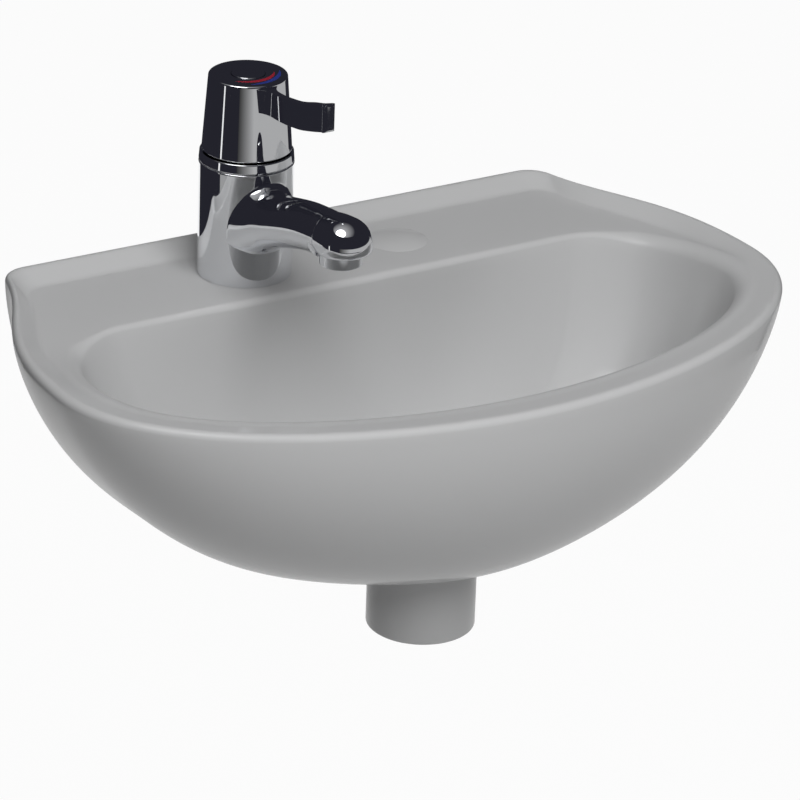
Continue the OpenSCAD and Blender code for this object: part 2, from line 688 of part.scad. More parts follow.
grid_pitch = 3.2;
module aerator_insert() color("whitesmoke") at_tap(outlet_face_h - aerator_h + 1) translate([0, -spout_reach, 0]) {
    difference() {
        cylinder(h = aerator_h + aerator_thread_h - 3, r = insert_r - running_gap, $fn = round_fn);
        for (ix = [-2:2], iy = [-2:2]) {
            hx = grid_pitch * (ix + (iy % 2 == 0 ? 0 : 0.5));
            hy = grid_pitch * iy * sin(60);
            if (norm([hx, hy]) < insert_r - 1.8)
                translate([hx, hy, -cut]) cylinder(h = 3 * aerator_h + aerator_thread_h, r = 1.2, $fn = 16);
        }
    }
}

module aerator_washer() color("dimgray") at_tap(outlet_face_h + aerator_thread_h - 2) translate([0, -spout_reach, 0]) {
    hollow(aerator_bore_r - running_gap, 7.2, 2);
}

clamp_seal_t = 2;
clamp_plate_t = 3;
clamp_r = 24;
fixing_nut_h = 14;
stud_tail = 34;

module fixing_stud() color("gold") at_tap() {
    translate([0, -stud_y, -deck_t - stud_tail])
        cylinder(h = deck_t + stud_tail + stud_grip, d = stud_d, $fn = small_fn);
}

// Horseshoe: a disc with a slot for the water inlets, open towards the wall, and a hole for the stud
module horseshoe(h) {
    difference() {
        cylinder(h = h, r = clamp_r, $fn = round_fn);
        translate([-13, -3.5, -cut]) cube([26, 2 * clamp_r, h + 2 * cut]);
        translate([0, -stud_y, -cut]) cylinder(h = h + 2 * cut, d = stud_d + 0.6, $fn = small_fn);
    }
}

module clamp_seal() color("dimgray") at_tap(-deck_t - clamp_seal_t) horseshoe(clamp_seal_t);

module clamp_plate() color("lightgray") at_tap(-deck_t - clamp_seal_t - clamp_plate_t) horseshoe(clamp_plate_t);

module fixing_nut() color("gold") at_tap(-deck_t - clamp_seal_t - clamp_plate_t - fixing_nut_h) {
    translate([0, -stud_y, 0]) difference() {
        cylinder(h = fixing_nut_h, r = 7.5, $fn = 6);
        translate([0, 0, -cut]) cylinder(h = fixing_nut_h + 2 * cut, d = stud_d + 2 * running_gap, $fn = small_fn);
    }
}

waste_seal_t = 1;
flange_z = floor_z - recess_h + waste_seal_t;
tail_end_z = boss_z + 1;
grid_t = 4;
outlet_len = 40;
groove_z = tail_end_z + 14;
groove_h = 4;
groove_r = outlet_d / 2 + 2;

module waste_body() color("silver") at_waste(0) {
    difference() {
        union() {
            translate([0, 0, flange_z]) rotate_extrude($fn = round_fn) polygon([
                [0, 0], [flange_d / 2, 0], [flange_d / 2, flange_t * 0.4], [flange_d / 2 - 3, flange_t],
                [flange_d / 2 - 9, flange_t], [tail_d / 2 - 3, flange_t - 1], [0, flange_t - 1]
            ]);
            translate([0, 0, tail_end_z])
                cylinder(h = flange_z - tail_end_z + flange_t / 2, d = tail_d, $fn = round_fn);
        }
        translate([0, 0, tail_end_z - cut])
            cylinder(h = flange_z - grid_t - tail_end_z + cut, d = outlet_d, $fn = round_fn);
        translate([0, 0, groove_z]) cylinder(h = groove_h, r = groove_r, $fn = round_fn);
        translate([0, 0, flange_z - 2 * grid_t]) cylinder(h = 4 * grid_t, r = 2.6, $fn = small_fn);
        for (ring = [1, 2], k = [0:6 * ring - 1]) rotate([0, 0, 60 / ring * k])
            translate([6.3 * ring, 0, flange_z - 2 * grid_t]) cylinder(h = 4 * grid_t, r = 2.2, $fn = 24);
    }
}

module waste_top_seal() color("dimgray") at_waste(floor_z - recess_h) {
    hollow(flange_d / 2 - 1, waste_hole_d / 2 + 0.5, waste_seal_t);
}

lower_seal_z = boss_z + counterbore_h - 3;
module waste_lower_seal() color("dimgray") at_waste(lower_seal_z) {
    hollow(ring_nut_d / 2, tail_d / 2 + slip_gap, 3);
}

module waste_ring_nut() color("goldenrod") at_waste(lower_seal_z - ring_nut_h) {
    difference() {
        cylinder(h = ring_nut_h, d = ring_nut_d, $fn = round_fn);
        translate([0, 0, -cut]) cylinder(h = ring_nut_h + 2 * cut, r = tail_d / 2 + running_gap, $fn = round_fn);
        for (k = [0:3]) rotate([0, 0, 90 * k]) translate([tail_d / 2 + 1, -2.5, -cut]) cube([6, 5, 3 + cut]);
    }
}

module outlet_seal() color("dimgray") at_waste(groove_z + 0.1) {
    hollow(groove_r - running_gap, outlet_d / 2 + running_gap, groove_h - 0.2);
}

ceramic_basin();
tap_body();
body_gasket();
trim_ring();
handle();
index_cap();
hot_mark();
cold_mark();
handle_screw();
spindle();
cartridge();
cartridge_seals();
cartridge_nut();
limit_stop();
aerator_housing();
aerator_insert();
aerator_washer();
fixing_stud();
clamp_seal();
clamp_plate();
fixing_nut();
waste_body();
waste_top_seal();
waste_lower_seal();
waste_ring_nut();
outlet_seal();
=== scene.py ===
"""Wall-hung hand-rinse washbasin with a single-lever mixer: visible pieces, finishes and studio."""

import json
import math

import bmesh
import bpy
from bpy.props import FloatProperty, FloatVectorProperty, IntProperty, PointerProperty
from mathutils import Matrix, Vector


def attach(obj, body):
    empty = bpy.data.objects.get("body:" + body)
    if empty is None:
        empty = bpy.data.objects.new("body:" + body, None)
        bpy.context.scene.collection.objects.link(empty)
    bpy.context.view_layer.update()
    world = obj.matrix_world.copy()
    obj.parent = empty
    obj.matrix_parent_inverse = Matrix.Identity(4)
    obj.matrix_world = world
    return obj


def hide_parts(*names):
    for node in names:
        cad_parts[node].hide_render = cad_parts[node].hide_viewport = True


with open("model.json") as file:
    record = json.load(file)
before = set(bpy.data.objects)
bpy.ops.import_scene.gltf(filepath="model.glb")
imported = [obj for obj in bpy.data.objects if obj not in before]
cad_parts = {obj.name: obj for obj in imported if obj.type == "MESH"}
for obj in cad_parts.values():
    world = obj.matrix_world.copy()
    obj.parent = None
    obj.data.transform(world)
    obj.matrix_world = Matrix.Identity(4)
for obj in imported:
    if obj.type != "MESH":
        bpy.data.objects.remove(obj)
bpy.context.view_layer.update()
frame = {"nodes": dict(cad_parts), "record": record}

bl_info = {
    "name": "Wall-hung washbasin",
    "version": (1, 0, 0),
    "blender": (4, 5, 0),
    "location": "View3D > Sidebar > Washbasin",
    "description": "Builds the washbasin, its mixer tap and a small studio around the packed frame",
    "category": "Object",
}

# Shapes of the tap, in metres: the reach from its axis, and the value there. The spout's middle is measured
# from the deck, and the lever's lower and upper edges from the handle's top.
SPOUT_MIDDLE = (
    (0.016, 0.0409), (0.022, 0.0408), (0.03, 0.0412), (0.04, 0.0441), (0.05, 0.0473), (0.06, 0.0503),
    (0.07, 0.0529), (0.08, 0.0548), (0.092, 0.0563), (0.1105, 0.0575),
)
SPOUT_RADIUS = (
    (0.016, 0.0192), (0.022, 0.0187), (0.03, 0.0171), (0.04, 0.0157), (0.05, 0.0149), (0.06, 0.0143),
    (0.07, 0.0138), (0.08, 0.0134), (0.092, 0.01325), (0.0957, 0.0132), (0.097, 0.0134), (0.0982, 0.0139),
    (0.1002, 0.01425), (0.1034, 0.0146), (0.107, 0.01488), (0.1105, 0.015),
)
# Half the spout's width near its root, where it is wider than it is tall
SPOUT_WIDTH = (
    (0.012, 0.0226), (0.016, 0.0218), (0.022, 0.0199), (0.03, 0.0176), (0.04, 0.0158), (0.05, 0.0149),
)
LEVER_LOW = (
    (0.0165, -0.015), (0.026, -0.0152), (0.036, -0.0151), (0.046, -0.0144), (0.055, -0.0132), (0.063, -0.0118),
    (0.071, -0.0097), (0.0786, -0.0075), (0.085, -0.0055), (0.092, -0.0034),
)
LEVER_HIGH = (
    (0.0165, -0.0018), (0.028, -0.0014), (0.0394, -0.0007), (0.0455, 0.0002), (0.056, 0.002), (0.0627, 0.0038),
    (0.071, 0.0065), (0.081, 0.0093), (0.0865, 0.0112), (0.092, 0.0124),
)
NECK_START = 0.04
SPOUT_TILT = math.radians(8)
ROOT_SQUARE = 2.4


# Sizes, in metres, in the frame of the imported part


def length(name, value, text):
    """A length property in metres."""
    return FloatProperty(name=name, default=value, description=text, unit="LENGTH", precision=4)


class BASIN_PG_sizes(bpy.types.PropertyGroup):
    """Sizes of the ceramic basin."""

    width: length("Width", 0.45, "Width at the widest point")
    depth: length("Depth", 0.3, "From the wall to the front of the rim")
    back_width: length("Back width", 0.354, "Length of the back edge")
    corner: length("Back corner", 0.016, "Radius of the back corners")
    side_angle: FloatProperty(name="Side angle", default=math.radians(14), subtype="ANGLE",
                              description="Angle at which the sides leave the back corners")
    widest_y: length("Widest point", 0.163, "Distance of the widest point from the wall")
    rim_z: length("Rim height", 0.07, "Height of the rim over the wall fixings")
    height: length("Height", 0.184, "From the foot of the waste boss to the rim")
    hull_height: length("Hull height", 0.132, "From the underside of the hull to the rim")
    rim_radius: length("Rim radius", 0.004, "Radius of the rim's outer edge")
    deck_drop: length("Deck drop", 0.007, "How far the deck lies below the rim")
    upstand: length("Upstand", 0.017, "Width of the slope behind the deck")
    deck_thickness: length("Deck thickness", 0.013, "Thickness of the tap deck")
    bowl_back: length("Bowl back", 0.089, "Distance of the bowl's back edge from the wall")
    bowl_back_width: length("Bowl back width", 0.292, "Length of the bowl's straight back edge")
    rim_side: length("Side rim", 0.03, "Width of the rim beside the bowl")
    rim_front: length("Front rim", 0.027, "Width of the rim in front of the bowl")
    bowl_depth: length("Bowl depth", 0.119, "Depth of the bowl below the rim")
    bowl_edge: length("Bowl edge", 0.0045, "Radius of the bowl's edge at the back")
    bowl_soft_edge: length("Soft bowl edge", 0.0115, "Radius of the bowl's edge at its sides")
    waste_y: length("Waste place", 0.174, "Distance of the waste from the wall")
    boss_radius: length("Boss radius", 0.031, "Radius of the waste boss")
    fillet: length("Boss fillet", 0.011, "Radius between the boss and the hull")
    blank_x: length("Blank place", 0.053, "Place of the blanked tap hole along the wall")
    blank_rise: length("Blank rise", 0.002, "Rise of the dome over the blanked tap hole")
    blank_skin: length("Blank skin", 0.004, "Thickness left over the blanked tap hole")
    tap_hole: length("Tap hole radius", 0.0175, "Radius of the tap holes")
    fixing_x: length("Fixing place", 0.115, "Distance of each wall fixing from the middle")
    fixing_radius: length("Fixing radius", 0.007, "Radius of the wall fixing holes")
    pad: length("Pad thickness", 0.014, "Thickness of the pads behind the wall fixings")
    pad_inner: length("Pad width", 0.022, "From each fixing hole to its pad's inner side")


class TAP_PG_sizes(bpy.types.PropertyGroup):
    """Sizes of the mixer tap, with heights measured from the deck."""

    x: length("Place along the wall", -0.0475, "Place of the tap along the wall")
    y: length("Distance from the wall", 0.0485, "Distance of the tap's axis from the wall")
    body_radius: length("Body radius", 0.027, "Radius of the tap body")
    body_height: length("Body height", 0.068, "Height of the tap body")
    ring_height: length("Ring height", 0.006, "Height of the trim ring")
    root_height: length("Root height", 0.03, "Height at which the spout's root is widest")
    root_radius: length("Root radius", 0.0228, "Half the width of the spout's root on the body")
    root_rise: length("Root rise", 0.0335, "From the root's widest point up to its top")
    root_drop: length("Root drop", 0.01, "From the root's widest point down to its foot")
    root_fillet: length("Root fillet", 0.0034, "Reach of the fillet between the body and the spout")
    nose_radius: length("Nose radius", 0.015, "Radius of the spout's nose")
    nose_height: length("Nose height", 0.0575, "Height of the middle of the nose")
    nose_reach: length("Nose reach", 0.1105, "From the tap's axis to the middle of the nose")
    reach: length("Reach", 0.106, "From the tap's axis to the middle of the outlet")
    outlet_height: length("Outlet height", 0.0515, "Height of the face that the aerator is screwed into")
    aerator_radius: length("Aerator radius", 0.0118, "Radius of the aerator")
    aerator_height: length("Aerator height", 0.0072, "Height of the aerator below the spout")
    knob_gap: length("Handle gap", 0.001, "Gap between the trim ring and the handle")
    knob_height: length("Handle height", 0.044, "Height of the handle")
    knob_base: length("Handle base radius", 0.0255, "Radius of the handle's lower edge")
    knob_top: length("Handle top radius", 0.0222, "Radius of the handle's top")
    lever_thickness: length("Lever thickness", 0.0045, "Thickness of the lever blade")
    tip_radius: length("Lever tip radius", 0.0034, "Radius of the roll at the lever's tip")
    segments: IntProperty(name="Segments", default=144, min=24, max=256, description="Sides of the round parts")


class FINISH_PG_colors(bpy.types.PropertyGroup):
    """Colours of the finishes."""

    ceramic: FloatVectorProperty(name="Ceramic", subtype="COLOR", default=(0.45, 0.452, 0.455), min=0, max=1,
                                 description="Colour of the glazed ceramic")
    chrome: FloatVectorProperty(name="Chrome", subtype="COLOR", default=(0.84, 0.85, 0.87), min=0, max=1,
                                description="Colour of the chrome plating")
    hot: FloatVectorProperty(name="Hot mark", subtype="COLOR", default=(0.3, 0.012, 0.025), min=0, max=1,
                             description="Colour of the mark for hot water")
    cold: FloatVectorProperty(name="Cold mark", subtype="COLOR", default=(0.02, 0.035, 0.22), min=0, max=1,
                              description="Colour of the mark for cold water")


def basin_sizes():
    return bpy.context.scene.basin_sizes


def tap_sizes():
    return bpy.context.scene.tap_sizes


# Small geometry helpers


def mix(a, b, t):
    return a * (1 - t) + b * t


def clamp(t):
    return max(0.0, min(1.0, t))


def ease(t):
    t = clamp(t)
    return t * t * (3 - 2 * t)


def bezier(a, b, c, d, t):
    s = 1 - t
    return s * s * s * a + 3 * s * s * t * b + 3 * s * t * t * c + t * t * t * d


def arc_share(u, power, root):
    return max(0.0, 1 - u**power) ** (1 / root)


def curve(table, x):
    """A smooth value at x, through a table of measured (x, value) points."""
    last = len(table) - 1
    x = max(table[0][0], min(table[last][0], x))
    k = next(i for i in range(last) if x <= table[i + 1][0])

    def slope(i):
        i, j = max(0, i - 1), min(last, i + 1)
        return (table[j][1] - table[i][1]) / (table[j][0] - table[i][0])

    (x0, y0), (x1, y1) = table[k], table[k + 1]
    run = x1 - x0
    return bezier(y0, y0 + slope(k) * run / 3, y1 - slope(k + 1) * run / 3, y1, (x - x0) / run)


def quarter(steps):
    """Angles of a quarter turn, without its start."""
    return [math.pi / 2 * k / steps for k in range(1, steps + 1)]


def finish_mesh(bm, name, sharp=35.0):
    """Turns a bmesh into a smooth-shaded object that is sharp only at real edges."""
    bmesh.ops.remove_doubles(bm, verts=bm.verts, dist=1e-6)
    bmesh.ops.recalc_face_normals(bm, faces=bm.faces)
    mesh = bpy.data.meshes.new(name)
    bm.to_mesh(mesh)
    bm.free()
    mesh.shade_smooth()
    mesh.set_sharp_from_angle(angle=math.radians(sharp))
    obj = bpy.data.objects.new(name, mesh)
    bpy.context.scene.collection.objects.link(obj)
    return obj


def ring_edges(bm, ring):
    return [bm.edges.get(pair) for pair in zip(ring, ring[1:] + ring[:1])]


def start_ring(bm, places):
    """A first closed ring of edges."""
    ring = [bm.verts.new(p) for p in places]
    for pair in zip(ring, ring[1:] + ring[:1]):
        bm.edges.new(pair)
    return ring


def grow_ring(bm, ring, places):
    """Extrudes a closed ring of edges and sets the new ring in its place."""
    made = bmesh.ops.extrude_edge_only(bm, edges=ring_edges(bm, ring))["geom"]
    made = {part for part in made if isinstance(part, bmesh.types.BMVert)}
    new = [next(e.other_vert(v) for e in v.link_edges if e.other_vert(v) in made) for v in ring]
    for v, p in zip(new, places):
        v.co = p
    return new


def grow_shell(bm, rings):
    """Extrudes from ring to ring and returns the first and the last one."""
    first = last = start_ring(bm, rings[0])
    for places in rings[1:]:
        last = grow_ring(bm, last, places)
    return first, last


def close_shell(bm, *ends):
    for ring in ends:
        bmesh.ops.edgeloop_fill(bm, edges=ring_edges(bm, ring))


def hold_straight(bm, reach=0.0002):
    """Splits long edges close to both ends, so that smooth shading keeps them straight in between."""
    for edge in [e for e in bm.edges if e.calc_length() > 8 * reach]:
        start, end = edge.verts
        whole = edge.calc_length()
        near = bmesh.utils.edge_split(edge, start, reach / whole)[1]
        rest = next(e for e in near.link_edges if e.other_vert(near) == end)
        bmesh.utils.edge_split(rest, end, reach / (whole - reach))


def turned(name, outline, rounding=None, centre=(0, 0), base=0.0, steps=6, sharp=35.0):
    """Rounds the corners of a (radius, height) outline and spins it round an upright axis."""
    bm = bmesh.new()
    corners = [bm.verts.new((radius, 0, height)) for radius, height in outline]
    for pair in zip(corners, corners[1:]):
        bm.edges.new(pair)
    for k, radius in (rounding or {}).items():
        bmesh.ops.bevel(bm, geom=[corners[k]], offset=radius, offset_type="OFFSET", affect="VERTICES",
                        segments=steps, profile=0.5, material=-1)
    hold_straight(bm)
    bmesh.ops.spin(bm, geom=bm.verts[:] + bm.edges[:], cent=(0, 0, 0), axis=(0, 0, 1), dvec=(0, 0, 0),
                   angle=2 * math.pi, steps=tap_sizes().segments, use_merge=True, use_duplicate=False)
    bmesh.ops.translate(bm, vec=(*centre, base), verts=bm.verts)
    return finish_mesh(bm, name, sharp)


def subtract(obj, cutter, sharp=32.0):
    """Cuts one object out of another and throws the cutter away."""
    change = obj.modifiers.new("Cut", "BOOLEAN")
    change.operation = "DIFFERENCE"
    change.solver = "EXACT"
    change.object = cutter
    graph = bpy.context.evaluated_depsgraph_get()
    mesh = bpy.data.meshes.new_from_object(obj.evaluated_get(graph))
    obj.modifiers.clear()
    old = obj.data
    obj.data = mesh
    mesh.name = obj.name
    bpy.data.meshes.remove(old)
    bpy.data.objects.remove(cutter)
    mesh.shade_smooth()
    mesh.set_sharp_from_angle(angle=math.radians(sharp))
    return obj


def join(name, *objects):
    """Joins meshes into the first object."""
    first = objects[0]
    bm = bmesh.new()
    for obj in objects:
        bm.from_mesh(obj.data)
    mesh = bpy.data.meshes.new(name)
    bm.to_mesh(mesh)
    bm.free()
    old = [obj.data for obj in objects]
    first.data = mesh
    first.name = name
    for obj in objects[1:]:
        bpy.data.objects.remove(obj)
    for data in old:
        bpy.data.meshes.remove(data)
    return first


# Finishes


def new_material(name):
    mat = bpy.data.materials.new(name)
    mat.use_nodes = True
    return mat, mat.node_tree.nodes, mat.node_tree.links, mat.node_tree.nodes["Principled BSDF"]


def object_noise(nodes, links, scale, detail=3.0, rough=0.5):
    coord = nodes.new("ShaderNodeTexCoord")
    noise = nodes.new("ShaderNodeTexNoise")
    noise.inputs["Scale"].default_value = scale
    noise.inputs["Detail"].default_value = detail
    noise.inputs["Roughness"].default_value = rough
    links.new(coord.outputs["Object"], noise.inputs["Vector"])
    return noise


def remap(nodes, links, source, low, high, lo_in=0.3, hi_in=0.7):
    node = nodes.new("ShaderNodeMapRange")
    node.inputs["From Min"].default_value = lo_in
    node.inputs["From Max"].default_value = hi_in
    node.inputs["To Min"].default_value = low
    node.inputs["To Max"].default_value = high
    links.new(source, node.inputs["Value"])
    return node.outputs["Result"]


def two_into_one(nodes, links, operation, first, second):
    """A maths node that joins two values, and its output."""
    node = nodes.new("ShaderNodeMath")
    node.operation = operation
    links.new(first, node.inputs[0])
    links.new(second, node.inputs[1])
    return node.outputs[0]


def add_bump(nodes, links, shader, source, strength, distance, socket="Normal"):
    bump = nodes.new("ShaderNodeBump")
    bump.inputs["Strength"].default_value = strength
    bump.inputs["Distance"].default_value = distance
    links.new(source, bump.inputs["Height"])
    links.new(bump.outputs["Normal"], shader.inputs[socket])


def plain(name, color, roughness, metallic=0.0, spread=0.0, scale=60.0, coat=0.0):
    """A material with one colour and, where spread is given, a slightly uneven gloss."""
    mat, nodes, links, shader = new_material(name)
    shader.inputs["Base Color"].default_value = (*color, 1)
    shader.inputs["Roughness"].default_value = roughness
    shader.inputs["Metallic"].default_value = metallic
    shader.inputs["Coat Weight"].default_value = coat
    if spread:
        noise = object_noise(nodes, links, scale)
        links.new(remap(nodes, links, noise.outputs["Fac"], roughness - spread, roughness + spread),
                  shader.inputs["Roughness"])
    return mat


def glazed_ceramic(color):
    """Fired clay under a clear glaze, with a faint ripple in the glaze."""
    mat, nodes, links, shader = new_material("glazed_ceramic")
    noise = object_noise(nodes, links, 9.0, 2.0)
    tone = nodes.new("ShaderNodeMix")
    tone.data_type = "RGBA"
    tone.inputs[6].default_value = (*(c * 0.985 for c in color), 1)
    tone.inputs[7].default_value = (*(c * 1.015 for c in color), 1)
    links.new(noise.outputs["Fac"], tone.inputs[0])
    links.new(tone.outputs[2], shader.inputs["Base Color"])
    shader.inputs["Roughness"].default_value = 0.4
    shader.inputs["Specular IOR Level"].default_value = 0.15
    shader.inputs["Coat Weight"].default_value = 0.3
    shader.inputs["Coat Roughness"].default_value = 0.07
    shader.inputs["Coat IOR"].default_value = 1.5
    ripple = object_noise(nodes, links, 14.0, 1.0)
    add_bump(nodes, links, shader, ripple.outputs["Fac"], 0.05, 0.002, "Coat Normal")
    return mat


def chrome(color):
    mat, nodes, links, shader = new_material("chrome")
    shader.inputs["Base Color"].default_value = (*color, 1)
    shader.inputs["Metallic"].default_value = 1.0
    noise = object_noise(nodes, links, 120.0)
    links.new(remap(nodes, links, noise.outputs["Fac"], 0.02, 0.04), shader.inputs["Roughness"])
    return mat


def turned_brass():
    """Brass with the fine rings that a lathe leaves."""
    mat, nodes, links, shader = new_material("brass")
    shader.inputs["Base Color"].default_value = (0.72, 0.52, 0.25, 1)
    shader.inputs["Metallic"].default_value = 1.0
    shader.inputs["Roughness"].default_value = 0.28
    coord = nodes.new("ShaderNodeTexCoord")
    stretch = nodes.new("ShaderNodeMapping")
    stretch.inputs["Scale"].default_value = (40.0, 40.0, 2600.0)
    noise = nodes.new("ShaderNodeTexNoise")
    noise.inputs["Scale"].default_value = 1.0
    links.new(coord.outputs["Object"], stretch.inputs["Vector"])
    links.new(stretch.outputs["Vector"], noise.inputs["Vector"])
    add_bump(nodes, links, shader, noise.outputs["Fac"], 0.2, 0.0002)
    return mat


MATERIALS = {}


def make_materials():
    colors = bpy.context.scene.finish_colors
    return {
        "ceramic": glazed_ceramic(colors.ceramic),
        "chrome": chrome(colors.chrome),
        "brass": turned_brass(),
        "steel": plain("zinc_plated_steel", (0.5, 0.51, 0.53), 0.32, 1.0, 0.08),
        "rubber": plain("black_rubber", (0.03, 0.03, 0.03), 0.7, spread=0.1),
        "white_plastic": plain("white_plastic", (0.72, 0.72, 0.69), 0.45, spread=0.05),
        "red_plastic": plain("red_enamel", colors.hot, 0.3, coat=0.3),
        "blue_plastic": plain("blue_enamel", colors.cold, 0.3, coat=0.3),
    }


def even_shading(obj):
    """Weights the shading by face area, so that wide faces stay even beside their rounded edges."""
    change = obj.modifiers.new("Even shading", "WEIGHTED_NORMAL")
    change.mode = "FACE_AREA"
    change.weight = 50
    change.keep_sharp = True
    return obj


def dress(obj, slot, body, *nodes):
    """Gives a piece its finish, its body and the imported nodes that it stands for."""
    obj.data.materials.clear()
    obj.data.materials.append(MATERIALS[slot])
    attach(obj, body)
    if nodes:
        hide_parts(*nodes)
    return obj


class BASIN_OT_materials(bpy.types.Operator):
    """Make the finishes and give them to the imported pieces"""

    bl_idname = "washbasin.materials"
    bl_label = "Finishes"

    def execute(self, context):
        MATERIALS.update(make_materials())
        slots = {p["node"]: p["material_slot"] for p in frame["record"]["subparts"]}
        for name, obj in frame["nodes"].items():
            obj.data.materials.clear()
            obj.data.materials.append(MATERIALS[slots[name]])
        return {"FINISHED"}


# The ceramic basin


class Outline:
    """The basin's outlines and levels.

    Seen from above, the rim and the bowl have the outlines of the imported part, at a finer spacing. The bowl's
    side walls are gentler here, its edge is softer, and the hull's back corners are a little fuller.
    """

    # Steps of half an outline: along the back, round the corner, along the side and round the front
    BACK, CORNER, SIDE, FRONT = 10, 14, 38, 54
    # How far the curves of the rim and of the bowl pull: at the corner, before and after the widest point and
    # at the front
    RIM_PULLS = (0.05, 0.084, 0.087, 0.095)
    BOWL_PULLS = (0.012, 0.063, 0.061, 0.1)
    # Power and root of the hull's curve at its side, front and back, and how far down its wall side starts
    # to round
    HULL_SIDE, HULL_FRONT, HULL_BACK = (1.32, 2.39), (1.98, 1.85), (1.6, 4.0)
    WALL_ROUNDS_AT = 0.108
    # How far the bowl's edge turns at the sides before the wall starts, and the pulls at the wall's start and
    # end, each at the back or front and at the sides
    SIDE_EDGE_TURN = math.radians(68)
    WALL_START, WALL_END = (0.6, 0.66), (0.58, 0.56)

    def __init__(self):
        s = self.s = basin_sizes()
        self.half = self.BACK + self.CORNER + self.SIDE + self.FRONT
        self.centre = Vector((0, -s.waste_y))
        self.deck_z = s.rim_z - s.deck_drop
        self.hull_z = s.rim_z - s.hull_height
        self.boss_z = s.rim_z - s.height
        self.floor_z = s.rim_z - s.bowl_depth
        self.foot_r = s.boss_radius + s.fillet
        self.floor_r = s.boss_radius + 0.004
        self.rim = self.mirror([self.rim_half(i) for i in range(self.half + 1)])
        self.bowl = self.mirror([self.bowl_half(i) for i in range(self.half + 1)])
        self.way = [(q - p).normalized() for p, q in zip(self.rim, self.bowl)]
        self.edge = [self.edge_radius(q) for q in self.bowl]
        self.room = [min(s.upstand, (q - p).length - r - s.rim_radius - 0.0015)
                     for p, q, r in zip(self.rim, self.bowl, self.edge)]
        self.flat = [ease((abs((q - self.centre).normalized().x) - 0.6) / 0.38) for q in self.bowl]

    def mirror(self, half):
        return half + [Vector((-p.x, p.y)) for p in reversed(half[1:-1])]

    def rim_half(self, i):
        s = self.s
        side = Vector((math.sin(s.side_angle), -math.cos(s.side_angle)))
        corner = Vector((s.back_width / 2, 0))
        leg = s.corner * math.tan((math.pi / 2 - s.side_angle) / 2)
        a, b = corner - Vector((leg, 0)), corner + side * leg
        widest, front = Vector((s.width / 2, -s.widest_y)), Vector((0, -s.depth))
        leave, arrive, pass_on, end = self.RIM_PULLS
        if i < self.BACK:
            return Vector((a.x * i / self.BACK, 0))
        i -= self.BACK
        if i < self.CORNER:
            return bezier(a, mix(a, corner, 0.6), mix(b, corner, 0.6), b, i / self.CORNER)
        i -= self.CORNER
        if i < self.SIDE:
            return bezier(b, b + side * leave, widest + Vector((0, arrive)), widest, i / self.SIDE)
        i -= self.SIDE
        return bezier(widest, widest - Vector((0, pass_on)), front + Vector((end, 0)), front, i / self.FRONT)

    def bowl_half(self, i):
        s = self.s
        corner = Vector((s.bowl_back_width / 2, -s.bowl_back))
        widest = Vector((s.width / 2 - s.rim_side, -s.widest_y - 0.002))
        front = Vector((0, -s.depth + s.rim_front))
        leave, arrive, pass_on, end = self.BOWL_PULLS
        if i < self.BACK:
            return Vector((corner.x * i / self.BACK, -s.bowl_back))
        i -= self.BACK
        if i < self.CORNER + self.SIDE:
            return bezier(corner, corner + Vector((leave, 0)), widest + Vector((0, arrive)), widest,
                          i / (self.CORNER + self.SIDE))
        i -= self.CORNER + self.SIDE
        return bezier(widest, widest - Vector((0, pass_on)), front + Vector((end, 0)), front, i / self.FRONT)

    def edge_radius(self, q):
        """The bowl's edge is tight along its back and soft at its sides and front."""
        s = self.s
        away = ease((-q.y - s.bowl_back - 0.001) / 0.024)
        front = ease((-q.y - s.waste_y) / 0.09)
        return mix(mix(s.bowl_edge, s.bowl_soft_edge, away), mix(s.bowl_edge, s.bowl_soft_edge, 0.35), front)

    def toward(self, p, radius):
        return self.centre + (p - self.centre).normalized() * radius

    def circle(self, radius, z, outline=None):
        return [(*self.toward(p, radius), z) for p in (outline or self.rim)]

    def hull(self, u):
        s = self.s
        z = s.rim_z - s.rim_radius - u * (s.hull_height - s.rim_radius)
        side, front = arc_share(u, *self.HULL_SIDE), arc_share(u, *self.HULL_FRONT)
        back = arc_share(u, *self.HULL_BACK)
        t = max(0.0, s.rim_z - z - self.WALL_ROUNDS_AT) / (s.hull_height - self.WALL_ROUNDS_AT)
        wall = math.sqrt(max(0.0, 1 - t * t))
        ring = []
        for p in self.rim:
            foot = self.toward(p, self.foot_r)
            wb = ease((p.y + s.waste_y) / s.waste_y)
            wf = ease(-(p.y + s.waste_y) / (s.depth - s.waste_y))
            sx = side * (1 - wb - wf) + back * wb + front * wf
            sy = side * (1 - wb - wf) + wall * wb + front * wf
            ring.append((mix(foot.x, p.x, sx), mix(foot.y, p.y, sy), z))
        return ring

    def deck_level(self, y):
        s = self.s
        drop = 1 - ease((-y - s.bowl_back - 0.006) / 0.09)
        return s.rim_z - 0.001 - (s.deck_drop - 0.001) * drop

    def rim_edge(self, a):
        r = self.s.rim_radius
        return [(*(p + w * r * (1 - math.cos(a))), self.s.rim_z - r * (1 - math.sin(a)))
                for p, w in zip(self.rim, self.way)]

    def slope(self, t):
        """The upstand falls from the rim's crest, straight for most of its width, to a soft foot."""
        s = self.s
        crest, foot = 0.14, 0.3
        if t < crest:
            fall = t * t / (2 * crest)
        elif t < 1 - foot:
            fall = t - crest / 2
        else:
            fall = 1 - crest / 2 - foot / 2 - (1 - t) ** 2 / (2 * foot)
        share = fall / (1 - crest / 2 - foot / 2)
        ring = []
        for p, w, room in zip(self.rim, self.way, self.room):
            q = p + w * (s.rim_radius + t * room)
            ring.append((*q, mix(s.rim_z, self.deck_level(q.y), share)))
        return ring

